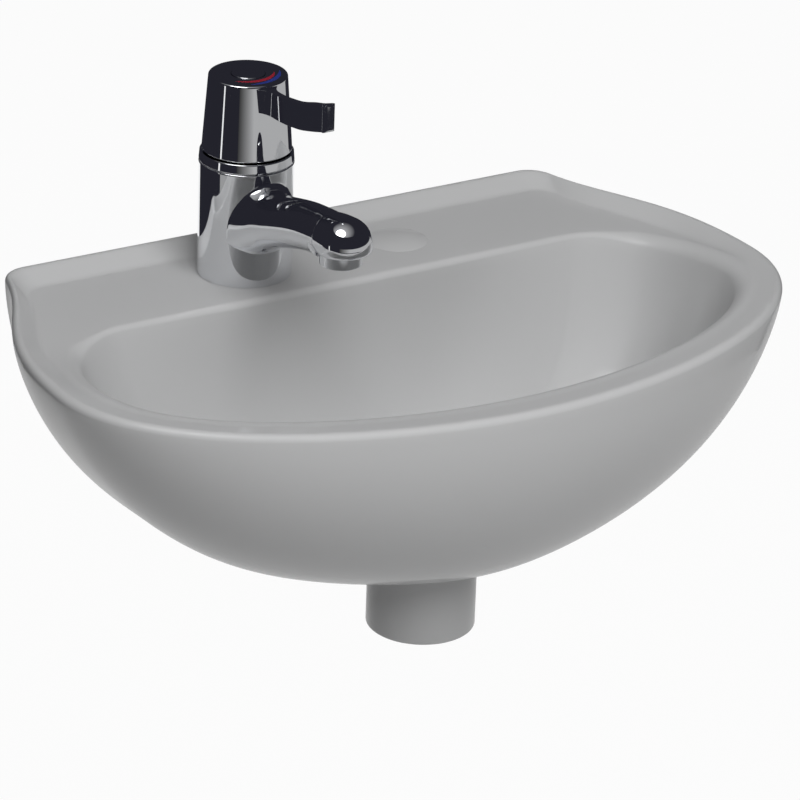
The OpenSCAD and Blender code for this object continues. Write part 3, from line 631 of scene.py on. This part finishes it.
    def deck(self, t):
        """Rings from the foot of the slope to the bowl's edge."""
        s = self.s
        ring = []
        for p, q, w, r, room in zip(self.rim, self.bowl, self.way, self.edge, self.room):
            place = mix(p + w * (s.rim_radius + room), q - w * r, t)
            ring.append((*place, self.deck_level(place.y)))
        return ring

    def edge_point(self, i, t):
        """A point of the bowl's rounded edge, with the way the wall leaves it at t = 1."""
        q, w, r = self.bowl[i], self.way[i], self.edge[i]
        turn = mix(math.pi / 2, self.SIDE_EDGE_TURN, self.flat[i])
        start = q - w * r
        place = start + w * r * math.sin(turn * t)
        height = self.deck_level(start.y) - 0.875 * r * (1 - math.cos(turn * t))
        return Vector((*place, height)), Vector((*(w * math.cos(turn)), -math.sin(turn)))

    def bowl_edge(self, t):
        return [self.edge_point(i, t)[0] for i in range(len(self.bowl))]

    def bowl_wall(self, t):
        """The wall falls steeply at the back and front and slopes gently at the sides."""
        ring = []
        for i, (q, flat) in enumerate(zip(self.bowl, self.flat)):
            start, way = self.edge_point(i, 1)
            foot = Vector((*self.toward(q, self.floor_r), self.floor_z))
            run = Vector((foot.x - start.x, foot.y - start.y, 0))
            steep = way * mix(self.WALL_START[0] * (start.z - foot.z), self.WALL_START[1] * run.length, flat)
            ring.append(bezier(start, start + steep, foot - run * mix(*self.WALL_END, flat), foot, t))
        return ring


def basin_body(o):
    """The ceramic casting, grown from its boss up the hull, over the rim and down to the waste hole."""
    s = o.s
    lip = 0.0012
    rings = [o.circle(s.boss_radius - lip, o.boss_z)]
    rings += [o.circle(s.boss_radius - lip * (1 - math.sin(a)), o.boss_z + lip * (1 - math.cos(a)))
              for a in quarter(3)]
    rings += [o.circle(s.boss_radius, mix(o.boss_z + lip, o.hull_z - s.fillet, t)) for t in (0.5, 1)]
    rings += [o.circle(s.boss_radius + s.fillet * (1 - math.cos(a)), o.hull_z - s.fillet * (1 - math.sin(a)))
              for a in quarter(9)]
    rings += [o.hull(math.sin(math.pi / 2 * k / 56)) for k in range(55, -1, -1)]
    rings += [o.rim_edge(a) for a in quarter(8)]
    rings += [o.slope(k / 16) for k in range(1, 17)]
    rings += [o.deck(k / 6) for k in range(1, 6)]
    rings += [o.bowl_edge(k / 10) for k in range(11)] + [o.bowl_wall(k / 46) for k in range(1, 47)]
    recess, hole, bore, ledge = 0.032, 0.0225, 0.0256, o.floor_z - 0.0035
    nut_z = o.boss_z + 0.016
    rings += [o.circle(recess + 0.001, o.floor_z, o.bowl)]
    rings += [o.circle(recess + 0.001 * (1 - math.sin(a)), o.floor_z - 0.001 * (1 - math.cos(a)), o.bowl)
              for a in quarter(3)]
    rings += [o.circle(recess, ledge, o.bowl), o.circle(hole, ledge, o.bowl), o.circle(hole, nut_z),
              o.circle(bore, nut_z), o.circle(bore, o.boss_z + 0.001), o.circle(bore + 0.001, o.boss_z)]
    bm = bmesh.new()
    first, last = grow_shell(bm, rings)
    bmesh.ops.bridge_loops(bm, edges=ring_edges(bm, first) + ring_edges(bm, last))
    return finish_mesh(bm, "ceramic_basin_glaze")


def service_cutter(o):
    """The space behind the bowl, open to the wall and downwards, with rounded inner corners."""
    s = o.s
    top, mouth = o.deck_z - s.deck_thickness, o.hull_z - 0.02
    low = o.hull_z + 0.014
    inner = s.fixing_x - s.pad_inner
    shell = 0.011

    def half_width(z):
        u = (s.rim_z - s.rim_radius - z) / (s.hull_height - s.rim_radius)
        leg = s.corner * math.tan((math.pi / 2 - s.side_angle) / 2)
        a = Vector((s.back_width / 2 - leg, 0))
        return mix(o.toward(a, o.foot_r).x, a.x, arc_share(u, 1.2, 4.95)) - shell

    def reach(z):
        v = clamp((top - z) / (top - o.floor_z))
        return mix(s.waste_y - o.floor_r, s.bowl_back, arc_share(v, 2.3, 2.1)) - 0.01

    def section(z, shrink):
        full = half_width(low)
        w = half_width(z) if z > low else mix(full * 0.8, full, (z - mouth) / (low - mouth))
        w = max(w - shrink, inner + 0.001)
        front, pad, side = reach(z) - shrink, s.pad + shrink, inner - shrink
        half = [(side, -0.001), (side, pad), (w, pad), (w, front)]
        return [(-x, -y, z) for x, y in half] + [(x, -y, z) for x, y in reversed(half)]

    levels = [(mouth, 0.0), (low - 0.012, 0.0)] + [(mix(low, top - 0.006, k / 22), 0.0) for k in range(23)]
    levels += [(top - 0.006 * (1 - math.sin(a)), 0.006 * (1 - math.cos(a))) for a in quarter(6)]
    bm = bmesh.new()
    first, last = grow_shell(bm, [section(z, shrink) for z, shrink in levels])
    inside = [v for v in bm.verts if v.co.y < -s.pad - 0.007]
    upright = [e for e in bm.edges if e.verts[0] in inside and e.verts[1] in inside
               and abs(e.verts[0].co.z - e.verts[1].co.z) > 1e-5]
    bmesh.ops.bevel(bm, geom=upright, offset=0.012, offset_type="OFFSET", affect="EDGES", segments=6,
                    profile=0.5, material=-1)
    bmesh.ops.holes_fill(bm, edges=[e for e in bm.edges if e.is_boundary])
    return finish_mesh(bm, "service_space")


def hole_cutters(o):
    """The tap hole, the recess under the blanked one and the wall fixing holes."""
    s, t = o.s, tap_sizes()
    bm = bmesh.new()

    def rod(radius, start, end):
        start, end = Vector(start), Vector(end)
        turn = Vector((0, 0, 1)).rotation_difference(end - start).to_matrix().to_4x4()
        bmesh.ops.create_cone(bm, cap_ends=True, cap_tris=False, segments=96, radius1=radius, radius2=radius,
                              depth=(end - start).length, matrix=Matrix.Translation((start + end) / 2) @ turn)

    under = o.deck_z - s.deck_thickness
    rod(s.tap_hole, (t.x, -t.y, under - 0.001), (t.x, -t.y, o.deck_z + 0.001))
    rod(s.tap_hole, (s.blank_x, -t.y, under - 0.001), (s.blank_x, -t.y, o.deck_z - s.blank_skin))
    for side in (-1, 1):
        rod(s.fixing_radius, (side * s.fixing_x, 0.001, 0), (side * s.fixing_x, -s.pad - 0.002, 0))
    return finish_mesh(bm, "holes")


def blank_dome(o):
    """The shallow dome over the blanked tap hole: the cap of a large ball, let a little into the deck."""
    s, t = o.s, tap_sizes()
    r, rise = s.tap_hole + 0.0006, s.blank_rise
    ball = (r * r + rise * rise) / (2 * rise)
    outline = [(0, o.deck_z + rise)]
    for k in range(1, 15):
        x = r * k / 14
        outline.append((x, o.deck_z + rise - ball + math.sqrt(ball * ball - x * x)))
    outline += [(r, o.deck_z - 0.001), (0, o.deck_z - 0.001)]
    return turned("dome", outline, centre=(s.blank_x, -t.y), sharp=25)


class BASIN_OT_ceramic(bpy.types.Operator):
    """Build the glazed ceramic basin"""

    bl_idname = "washbasin.ceramic"
    bl_label = "Ceramic basin"

    def execute(self, context):
        o = Outline()
        obj = basin_body(o)
        obj = subtract(obj, service_cutter(o))
        obj = subtract(obj, hole_cutters(o))
        if len(obj.data.polygons) < 10000:
            raise RuntimeError("the basin was lost when its holes were cut")
        obj = join("ceramic_basin_glaze", obj, blank_dome(o))
        dress(obj, "ceramic", "basin", "ceramic_basin")
        return {"FINISHED"}


# The mixer tap


def tap_place():
    t = tap_sizes()
    s = basin_sizes()
    return Vector((t.x, -t.y, s.rim_z - s.deck_drop))


def body_shell():
    t, at = tap_sizes(), tap_place()
    r, h = t.body_radius, t.body_height
    foot, gasket = 0.00015, r - 0.0009
    outline = [(0, 0.0015), (gasket, 0.0015), (gasket, foot), (r, foot), (r, h), (0, h)]
    return turned("body_shell", outline, {4: 0.0007, 3: 0.0002}, at.xy, at.z, 5)


def outline_of_spout(a, wide, tall, drop, square):
    """A point of a spout section at the angle a, with its height above and its drop below the middle."""
    side, up = math.sin(a), math.cos(a)
    share = (abs(side) ** square + abs(up) ** square) ** (-1 / square)
    return Vector((wide * side * share, (tall if up > 0 else drop) * up * share))


def spout_point(a, reach, tilt=0.0):
    """A point of the spout: an arch where it leaves the body, that turns into a round neck."""
    t = tap_sizes()
    away = ease((reach - 0.017) / 0.018)
    middle, radius = curve(SPOUT_MIDDLE, reach), curve(SPOUT_RADIUS, reach)
    centre = mix(t.root_height, middle, away)
    tall = mix(t.root_height + t.root_rise, middle + radius, away) - centre
    drop = centre - mix(t.root_height - t.root_drop, middle - radius, away)
    wide = curve(SPOUT_WIDTH, reach) if reach < 0.05 else radius
    q = outline_of_spout(a, wide, tall, drop, mix(ROOT_SQUARE, 2.0, away))
    return Vector((q.x, reach - q.y * math.sin(tilt), centre + q.y * math.cos(tilt)))


def spout_angles():
    t = tap_sizes()
    return [2 * math.pi * k / t.segments for k in range(t.segments)]


def spout_ring(reach):
    """A section of the neck, which leans forward more and more towards the nose."""
    tilt = SPOUT_TILT * ease((reach - NECK_START) / 0.045)
    return [spout_point(a, reach, tilt) for a in spout_angles()]


def nose_ring(around):
    """A section of the ball at the spout's end."""
    t, tilt = tap_sizes(), SPOUT_TILT
    middle = Vector((0, t.nose_reach, t.nose_height))
    middle += Vector((0, math.cos(tilt), math.sin(tilt))) * t.nose_radius * math.sin(around)
    radius = t.nose_radius * math.cos(around)
    return [middle + Vector((math.sin(a), -math.cos(a) * math.sin(tilt), math.cos(a) * math.cos(tilt))) * radius
            for a in spout_angles()]


def spout_root(share):
    """The fillet that joins the spout to the round body, as a section at a share of its run."""
    t = tap_sizes()

    def reach_of(x):
        return math.sqrt(max(0.0, t.body_radius**2 - x * x)) - 0.0001

    ring = []
    for a in spout_angles():
        q = outline_of_spout(a, t.root_radius, t.root_rise, t.root_drop, ROOT_SQUARE)
        inner = q * (1 - 0.6 * t.root_fillet / t.root_radius)
        foot = Vector((q.x, reach_of(q.x), t.root_height + q.y))
        pull = Vector((inner.x, reach_of(inner.x), t.root_height + inner.y))
        far = reach_of(q.x) + t.root_fillet
        ring.append(bezier(foot, pull, spout_point(a, far - 0.5 * t.root_fillet), spout_point(a, far), share))
    return ring


def neck_ring(share):
    """Sections between the end of the root's fillet and the first upright section of the neck."""
    t = tap_sizes()
    starts = [v.y for v in spout_root(1)]
    return [spout_point(a, mix(start, NECK_START, share)) for a, start in zip(spout_angles(), starts)]


def shape_outlet(p):
    """Makes the nose's lower half steep, draws it in round the aerator and cuts it flat there."""
    t = tap_sizes()
    soft = 0.0005
    deep = p.z - max(0.0, t.nose_height - p.z) * 0.9 * ease((p.y - 0.09) / 0.012)
    depth = (deep - t.outlet_height) / soft
    lifted = t.outlet_height + soft * (depth if depth > 20 else math.log1p(math.exp(depth)))
    share = ease((p.y - (t.reach - t.aerator_radius - 0.0024)) / 0.0014)
    level = mix(deep, lifted, share)
    off = Vector((p.x, p.y - t.reach))
    near = clamp((level - t.outlet_height) / 0.0042)
    drawn = (1 - math.sqrt(1 - (1 - near) ** 2)) * share
    keep = mix(1.0, min(1.0, (t.aerator_radius + 0.0013) / max(off.length, 1e-6)), drawn)
    return Vector((off.x * keep, t.reach + off.y * keep, level))


def spout_shell():
    """The spout: a filleted root, a tapering neck and a ball that is cut flat for the aerator."""
    t, at, tilt = tap_sizes(), tap_place(), SPOUT_TILT

    def place(p):
        return at.x + p.x, at.y - p.y, at.z + p.z

    rings = [spout_root(k / 8) for k in range(9)]
    rings += [neck_ring(k / 6) for k in range(1, 7)]
    reach = NECK_START
    while reach < t.nose_reach - 0.0005:
        reach += 0.0004 if 0.0885 < reach < 0.102 else 0.002
        rings.append(spout_ring(min(reach, t.nose_reach)))
    rings += [nose_ring(a) for a in quarter(24)[:-1]]
    bm = bmesh.new()
    first, last = grow_shell(bm, [[place(shape_outlet(p)) for p in ring] for ring in rings])
    tip = Vector((0, t.nose_reach, t.nose_height)) + Vector((0, math.cos(tilt), math.sin(tilt))) * t.nose_radius
    tip_ring = grow_ring(bm, last, [place(tip)] * t.segments)
    bmesh.ops.pointmerge(bm, verts=tip_ring, merge_co=place(tip))
    close_shell(bm, first)
    return finish_mesh(bm, "spout_shell", 40)


class TAP_OT_body(bpy.types.Operator):
    """Build the chromed tap body with its spout"""

    bl_idname = "washbasin.tap_body"
    bl_label = "Tap body"

    def execute(self, context):
        obj = join("tap_body_chrome", body_shell(), spout_shell())
        dress(obj, "chrome", "basin", "tap_body")
        return {"FINISHED"}


class TAP_OT_rings(bpy.types.Operator):
    """Build the trim ring and the aerator's housing"""

    bl_idname = "washbasin.rings"
    bl_label = "Trim ring and aerator"

    def execute(self, context):
        t, at = tap_sizes(), tap_place()
        r, h = t.body_radius, t.body_height
        top, inner = h + t.ring_height, 0.02
        outline = [(inner, h + 0.0001), (r - 0.0009, h + 0.0001), (r - 0.0009, h + 0.0007), (r, h + 0.0007),
                   (r - 0.0005, top), (inner, top), (inner, h + 0.0001)]
        ring = turned("trim_ring_chrome", outline, {4: 0.0006, 3: 0.0003}, at.xy, at.z, 6)
        dress(ring, "chrome", "basin", "trim_ring")
        face, out = t.outlet_height, t.aerator_radius
        low, bore = face - t.aerator_height, 0.0092
        outline = [(bore, face), (bore, low), (out, low), (out, face - 0.0006), (out - 0.0005, face - 0.0006),
                   (out - 0.0005, face + 0.0004), (bore, face + 0.0004), (bore, face)]
        rounding = {3: 0.0002, 2: 0.0006, 1: 0.0005}
        housing = turned("aerator_chrome", outline, rounding, (at.x, at.y - t.reach), at.z, 4)
        dress(housing, "chrome", "basin", "aerator_housing")
        return {"FINISHED"}


def lever_shell():
    """The upright lever blade, thicker at its root, with a round bead along its tip."""
    t, at = tap_sizes(), tap_place()
    top = t.body_height + t.ring_height + t.knob_gap + t.knob_height
    start, bead = LEVER_LOW[0][0], LEVER_LOW[-1][0] - t.tip_radius
    stops = [mix(start, bead - t.tip_radius, k / 48) for k in range(49)]
    stops += [bead - t.tip_radius * math.cos(math.pi * k / 28) for k in range(1, 28)]
    rings = []
    for x in stops:
        low, high = top + curve(LEVER_LOW, x), top + curve(LEVER_HIGH, x)
        root = clamp(1 - (x - (t.knob_top - 0.001)) / 0.0115)
        half = t.lever_thickness / 2 + 0.0047 * root**2.4
        off = (x - bead) / t.tip_radius
        if abs(off) < 1:
            round_half = t.tip_radius * math.sqrt(1 - off * off)
            half = max(half, round_half) if off < 0 else max(round_half, 0.0004)
        end = 0.0012 * ease((off - 0.35) / 0.65)
        rings.append([(at.x + side * half, at.y - x, at.z + z)
                      for side, z in ((-1, low + end), (1, low + end), (1, high - end), (-1, high - end))])
    bm = bmesh.new()
    first, last = grow_shell(bm, rings)
    close_shell(bm, first, last)
    along = [e for e in bm.edges if abs(e.verts[0].co.y - e.verts[1].co.y) > 1e-7 and len(e.link_faces) == 2
             and e.calc_face_angle(0) > math.radians(50)]
    bmesh.ops.bevel(bm, geom=along, offset=0.0011, offset_type="OFFSET", affect="EDGES", segments=4,
                    profile=0.5, material=-1, clamp_overlap=True)
    return finish_mesh(bm, "lever_shell", 30)


class TAP_OT_handle(bpy.types.Operator):
    """Build the handle with its lever and index cap"""

    bl_idname = "washbasin.handle"
    bl_label = "Handle"

    def execute(self, context):
        t, at = tap_sizes(), tap_place()
        low = t.body_height + t.ring_height + t.knob_gap
        top = low + t.knob_height
        wall, roof, seat, seat_r, inset, r = 0.0025, 0.009, 0.0025, 0.0097, 0.00008, 0.0094
        outline = [(0, top - roof), (t.knob_top - wall, top - roof), (t.knob_base - wall, low), (t.knob_base, low),
                   (t.knob_top, top - inset), (seat_r, top - inset), (seat_r, top - seat), (0, top - seat)]
        knob = turned("knob_shell", outline, {5: 0.0003, 4: 0.0011, 3: 0.0005}, at.xy, at.z)
        dress(even_shading(join("handle_chrome", knob, lever_shell())), "chrome", "lever", "handle")
        outline = [(0, top - seat), (r, top - seat), (r, top + 0.0002), (r - 0.0012, top + 0.0006),
                   (0, top + 0.0007)]
        cap = turned("index_cap_chrome", outline, {3: 0.0006, 2: 0.0003}, at.xy, at.z, 5)
        dress(cap, "chrome", "lever", "index_cap")
        return {"FINISHED"}


# The studio

DARK = (0.02, 0.02, 0.028)
WORLD_STRENGTH = 0.12
FLOOR_Z = -0.85
FLOOR_WHITE = 0.96
LIT_POINT = (0, -0.15, 0)

# Each lamp's name, place, size and power in watts
LAMPS = (
    ("key", (-0.28, -1.85, 2.05), (1.8, 1.8), 68.0),
    ("fill", (-0.1, -2.4, -0.2), (1.4, 1.2), 6.5),
    ("side", (-1.9, -0.9, 1.8), (1.4, 1.4), 7.0),
    ("top", (0.2, -0.3, 2.6), (2.0, 2.0), 3.0),
    ("back", (0.6, 2.2, 0.9), (1.6, 1.6), 7.0),
)

# The camera: its focal length and frame in pixels, its azimuth, elevation and roll in degrees, and its place
# along the wall, from the wall and over the rim
FOCAL_PIXELS, FRAME_PIXELS, SENSOR_WIDTH = 4388.9, 800.0, 36.0
CAMERA_TURNS = (-31.82, 24.59, 2.02)
CAMERA_PLACE = (-1.17957, -2.0451, 0.96491)


def link_mesh(bm, name):
    mesh = bpy.data.meshes.new(name)
    bm.to_mesh(mesh)
    bm.free()
    obj = bpy.data.objects.new(name, mesh)
    bpy.context.scene.collection.objects.link(obj)
    return obj


def seen_in_gloss_only(obj):
    """A studio card that only polished surfaces show."""
    obj.visible_camera = False
    obj.visible_diffuse = False
    obj.visible_shadow = False
    obj.visible_transmission = False
    return obj


def glow(name, color, strength):
    mat, nodes, links, shader = new_material(name)
    nodes.remove(shader)
    emission = nodes.new("ShaderNodeEmission")
    emission.inputs["Color"].default_value = (*color, 1)
    emission.inputs["Strength"].default_value = strength
    links.new(emission.outputs[0], nodes["Material Output"].inputs["Surface"])
    return mat, nodes, links, emission


def surround():
    """Dark flags all round the basin, grey cards in front below the horizon and a low gap at the back."""
    radius, low, foot, shelf, horizon, high = 1.7, -0.82, -0.5, -0.43, 0.03, 1.9
    middle_y = -0.1
    low_card, high_card = (-96, 105), (-54, 105)
    gap_turn, gap_half = 148.2, 38
    strip_turn, strip_half = -98, 1.6
    bm = bmesh.new()
    bmesh.ops.create_circle(bm, cap_ends=False, segments=180, radius=radius,
                            matrix=Matrix.Translation((0, middle_y, low)))
    for height in (foot, shelf, horizon, high):
        top = max(v.co.z for v in bm.verts)
        edges = [e for e in bm.edges if all(abs(v.co.z - top) < 1e-6 for v in e.verts)]
        made = bmesh.ops.extrude_edge_only(bm, edges=edges)["geom"]
        for part in made:
            if isinstance(part, bmesh.types.BMVert):
                part.co.z = height
    gone = []
    for face in bm.faces:
        middle = face.calc_center_median()
        turn = math.degrees(math.atan2(middle.x, -(middle.y - middle_y)))
        if middle.z < foot and abs((turn - gap_turn + 180) % 360 - 180) < gap_half:
            gone.append(face)
        if middle.z < foot:
            face.material_index = 1 if low_card[0] < turn < low_card[1] else 0
        elif shelf < middle.z < horizon and abs(turn - strip_turn) < strip_half:
            face.material_index = 2
        elif shelf < middle.z < horizon:
            face.material_index = 1 if high_card[0] < turn < high_card[1] else 0
    bmesh.ops.delete(bm, geom=gone, context="FACES")
    obj = seen_in_gloss_only(link_mesh(bm, "surround"))
    obj.data.materials.append(glow("dark_flag", DARK, 1.0)[0])
    mat, nodes, links, emission = glow("grey_card", (1, 1, 1), 0.4)
    coord = nodes.new("ShaderNodeTexCoord")
    split = nodes.new("ShaderNodeSeparateXYZ")
    links.new(coord.outputs["Object"], split.inputs["Vector"])
    rise = remap(nodes, links, split.outputs["X"], 0.03, 0.45, -1.4, -0.4)
    low_part = remap(nodes, links, split.outputs["Z"], 0.36, 0.0, foot - 0.02, foot + 0.02)
    brighter = two_into_one(nodes, links, "MAXIMUM", rise, low_part)
    links.new(brighter, emission.inputs["Strength"])
    obj.data.materials.append(mat)
    obj.data.materials.append(glow("thin_strip", (1, 1, 1), 1.0)[0])


def ceiling():
    """A dark ceiling with one round softbox, bright in its middle and fading to its edge."""
    height = 1.9
    bm = bmesh.new()
    bmesh.ops.create_grid(bm, x_segments=1, y_segments=1, size=2.4,
                          matrix=Matrix.Translation((0, -0.1, height)))
    obj = seen_in_gloss_only(link_mesh(bm, "ceiling"))
    mat, nodes, links, emission = glow("ceiling_with_softbox", (1, 1, 1), 1.0)
    coord = nodes.new("ShaderNodeTexCoord")
    away = nodes.new("ShaderNodeVectorMath")
    away.operation = "DISTANCE"
    away.inputs[1].default_value = (-1.22, -0.55, height)
    links.new(coord.outputs["Object"], away.inputs[0])
    core = remap(nodes, links, away.outputs["Value"], 4.0, 0.0, 0.62, 0.85)
    halo = remap(nodes, links, away.outputs["Value"], 0.45, 0.0, 0.65, 2.1)
    shade = nodes.new("ShaderNodeMix")
    shade.data_type = "RGBA"
    shade.blend_type = "ADD"
    shade.inputs[0].default_value = 1.0
    shade.inputs[6].default_value = (*DARK, 1)
    links.new(two_into_one(nodes, links, "ADD", core, halo), shade.inputs[7])
    links.new(shade.outputs[2], emission.inputs["Color"])
    obj.data.materials.append(mat)


def area_light(name, place, target, size, power):
    data = bpy.data.lights.new(name, "AREA")
    data.shape = "RECTANGLE"
    data.size, data.size_y = size
    data.energy = power
    obj = bpy.data.objects.new(name, data)
    obj.location = place
    obj.rotation_mode = "QUATERNION"
    obj.rotation_quaternion = (Vector(target) - Vector(place)).to_track_quat("-Z", "Y")
    obj.visible_glossy = False
    bpy.context.scene.collection.objects.link(obj)
    return obj


def shows_background(nodes, links):
    """One where a camera, glossy or transmission ray arrives, nought elsewhere."""
    path = nodes.new("ShaderNodeLightPath")
    total = path.outputs["Is Camera Ray"]
    for name in ("Is Glossy Ray", "Is Transmission Ray"):
        total = two_into_one(nodes, links, "MAXIMUM", total, path.outputs[name])
    return total


def white_world(scene):
    world = bpy.data.worlds.new("Studio")
    scene.world = world
    world.use_nodes = True
    nodes, links = world.node_tree.nodes, world.node_tree.links
    nodes.clear()
    light = nodes.new("ShaderNodeBackground")
    light.inputs["Strength"].default_value = WORLD_STRENGTH
    white = nodes.new("ShaderNodeBackground")
    for shader in (light, white):
        shader.inputs["Color"].default_value = (1, 1, 1, 1)
    choose = nodes.new("ShaderNodeMixShader")
    out = nodes.new("ShaderNodeOutputWorld")
    links.new(shows_background(nodes, links), choose.inputs["Fac"])
    links.new(light.outputs[0], choose.inputs[1])
    links.new(white.outputs[0], choose.inputs[2])
    links.new(choose.outputs[0], out.inputs["Surface"])


def pale_floor():
    """A pale floor that shows as white with the object's soft shadow."""
    bm = bmesh.new()
    bmesh.ops.create_grid(bm, x_segments=1, y_segments=1, size=9, matrix=Matrix.Translation((0, 0, FLOOR_Z)))
    obj = link_mesh(bm, "floor")
    mat, nodes, links, shader = new_material("floor")
    shader.inputs["Base Color"].default_value = (0.5, 0.5, 0.5, 1)
    shader.inputs["Roughness"].default_value = 0.9
    shader.inputs["Specular IOR Level"].default_value = 0.0
    emission = nodes.new("ShaderNodeEmission")
    emission.inputs["Strength"].default_value = 1.0
    whiten = nodes.new("ShaderNodeMath")
    whiten.operation = "MULTIPLY"
    whiten.inputs[1].default_value = FLOOR_WHITE
    links.new(shows_background(nodes, links), whiten.inputs[0])
    choose = nodes.new("ShaderNodeMixShader")
    links.new(whiten.outputs[0], choose.inputs["Fac"])
    links.new(shader.outputs[0], choose.inputs[1])
    links.new(emission.outputs[0], choose.inputs[2])
    links.new(choose.outputs[0], nodes["Material Output"].inputs["Surface"])
    obj.data.materials.append(mat)


def photo_camera(scene):
    """A long lens in front of the basin, to its left and above it, as in the photograph."""
    camera = bpy.data.cameras.new("camera")
    camera.sensor_width = SENSOR_WIDTH
    camera.lens = SENSOR_WIDTH * FOCAL_PIXELS / FRAME_PIXELS
    camera.clip_start, camera.clip_end = 0.05, 60.0
    obj = bpy.data.objects.new("camera", camera)
    scene.collection.objects.link(obj)
    az, el, roll = (math.radians(angle) for angle in CAMERA_TURNS)
    back = Vector((math.sin(az) * math.cos(el), -math.cos(az) * math.cos(el), math.sin(el)))
    right = Vector((math.cos(az), math.sin(az), 0))
    up = back.cross(right)
    x = right * math.cos(roll) + up * math.sin(roll)
    y = up * math.cos(roll) - right * math.sin(roll)
    obj.rotation_mode = "QUATERNION"
    obj.rotation_quaternion = Matrix((x, y, back)).transposed().to_quaternion()
    across, out, over_rim = CAMERA_PLACE
    obj.location = (across, out, over_rim + basin_sizes().rim_z)
    scene.camera = obj


class BASIN_OT_stage(bpy.types.Operator):
    """Set up the floor, the light and the camera"""

    bl_idname = "washbasin.stage"
    bl_label = "Studio"

    def execute(self, context):
        scene = context.scene
        scene.view_settings.view_transform = "Standard"
        white_world(scene)
        pale_floor()
        surround()
        ceiling()
        for name, place, size, power in LAMPS:
            area_light(name, place, LIT_POINT, size, power)
        photo_camera(scene)
        return {"FINISHED"}


class BASIN_PT_panel(bpy.types.Panel):
    """Builds the washbasin piece by piece"""

    bl_idname = "BASIN_PT_panel"
    bl_label = "Washbasin"
    bl_space_type = "VIEW_3D"
    bl_region_type = "UI"
    bl_category = "Washbasin"

    def draw(self, context):
        scene = context.scene
        for step in STEPS:
            self.layout.operator(step.bl_idname)
        for sizes in (scene.basin_sizes, scene.tap_sizes, scene.finish_colors):
            box = self.layout.box()
            for name in sizes.__annotations__:
                box.prop(sizes, name)


STEPS = (BASIN_OT_materials, BASIN_OT_ceramic, TAP_OT_body, TAP_OT_rings, TAP_OT_handle, BASIN_OT_stage)
CLASSES = (BASIN_PG_sizes, TAP_PG_sizes, FINISH_PG_colors, *STEPS, BASIN_PT_panel)


def register():
    for cls in CLASSES:
        bpy.utils.register_class(cls)
    bpy.types.Scene.basin_sizes = PointerProperty(type=BASIN_PG_sizes)
    bpy.types.Scene.tap_sizes = PointerProperty(type=TAP_PG_sizes)
    bpy.types.Scene.finish_colors = PointerProperty(type=FINISH_PG_colors)


def unregister():
    del bpy.types.Scene.finish_colors
    del bpy.types.Scene.tap_sizes
    del bpy.types.Scene.basin_sizes
    for cls in reversed(CLASSES):
        bpy.utils.unregister_class(cls)


def main():
    register()
    for step in (
        bpy.ops.washbasin.materials,
        bpy.ops.washbasin.ceramic,
        bpy.ops.washbasin.tap_body,
        bpy.ops.washbasin.rings,
        bpy.ops.washbasin.handle,
        bpy.ops.washbasin.stage,
    ):
        if step() != {"FINISHED"}:
            raise RuntimeError("a step of the washbasin did not finish")


if __name__ == "__main__":
    main()
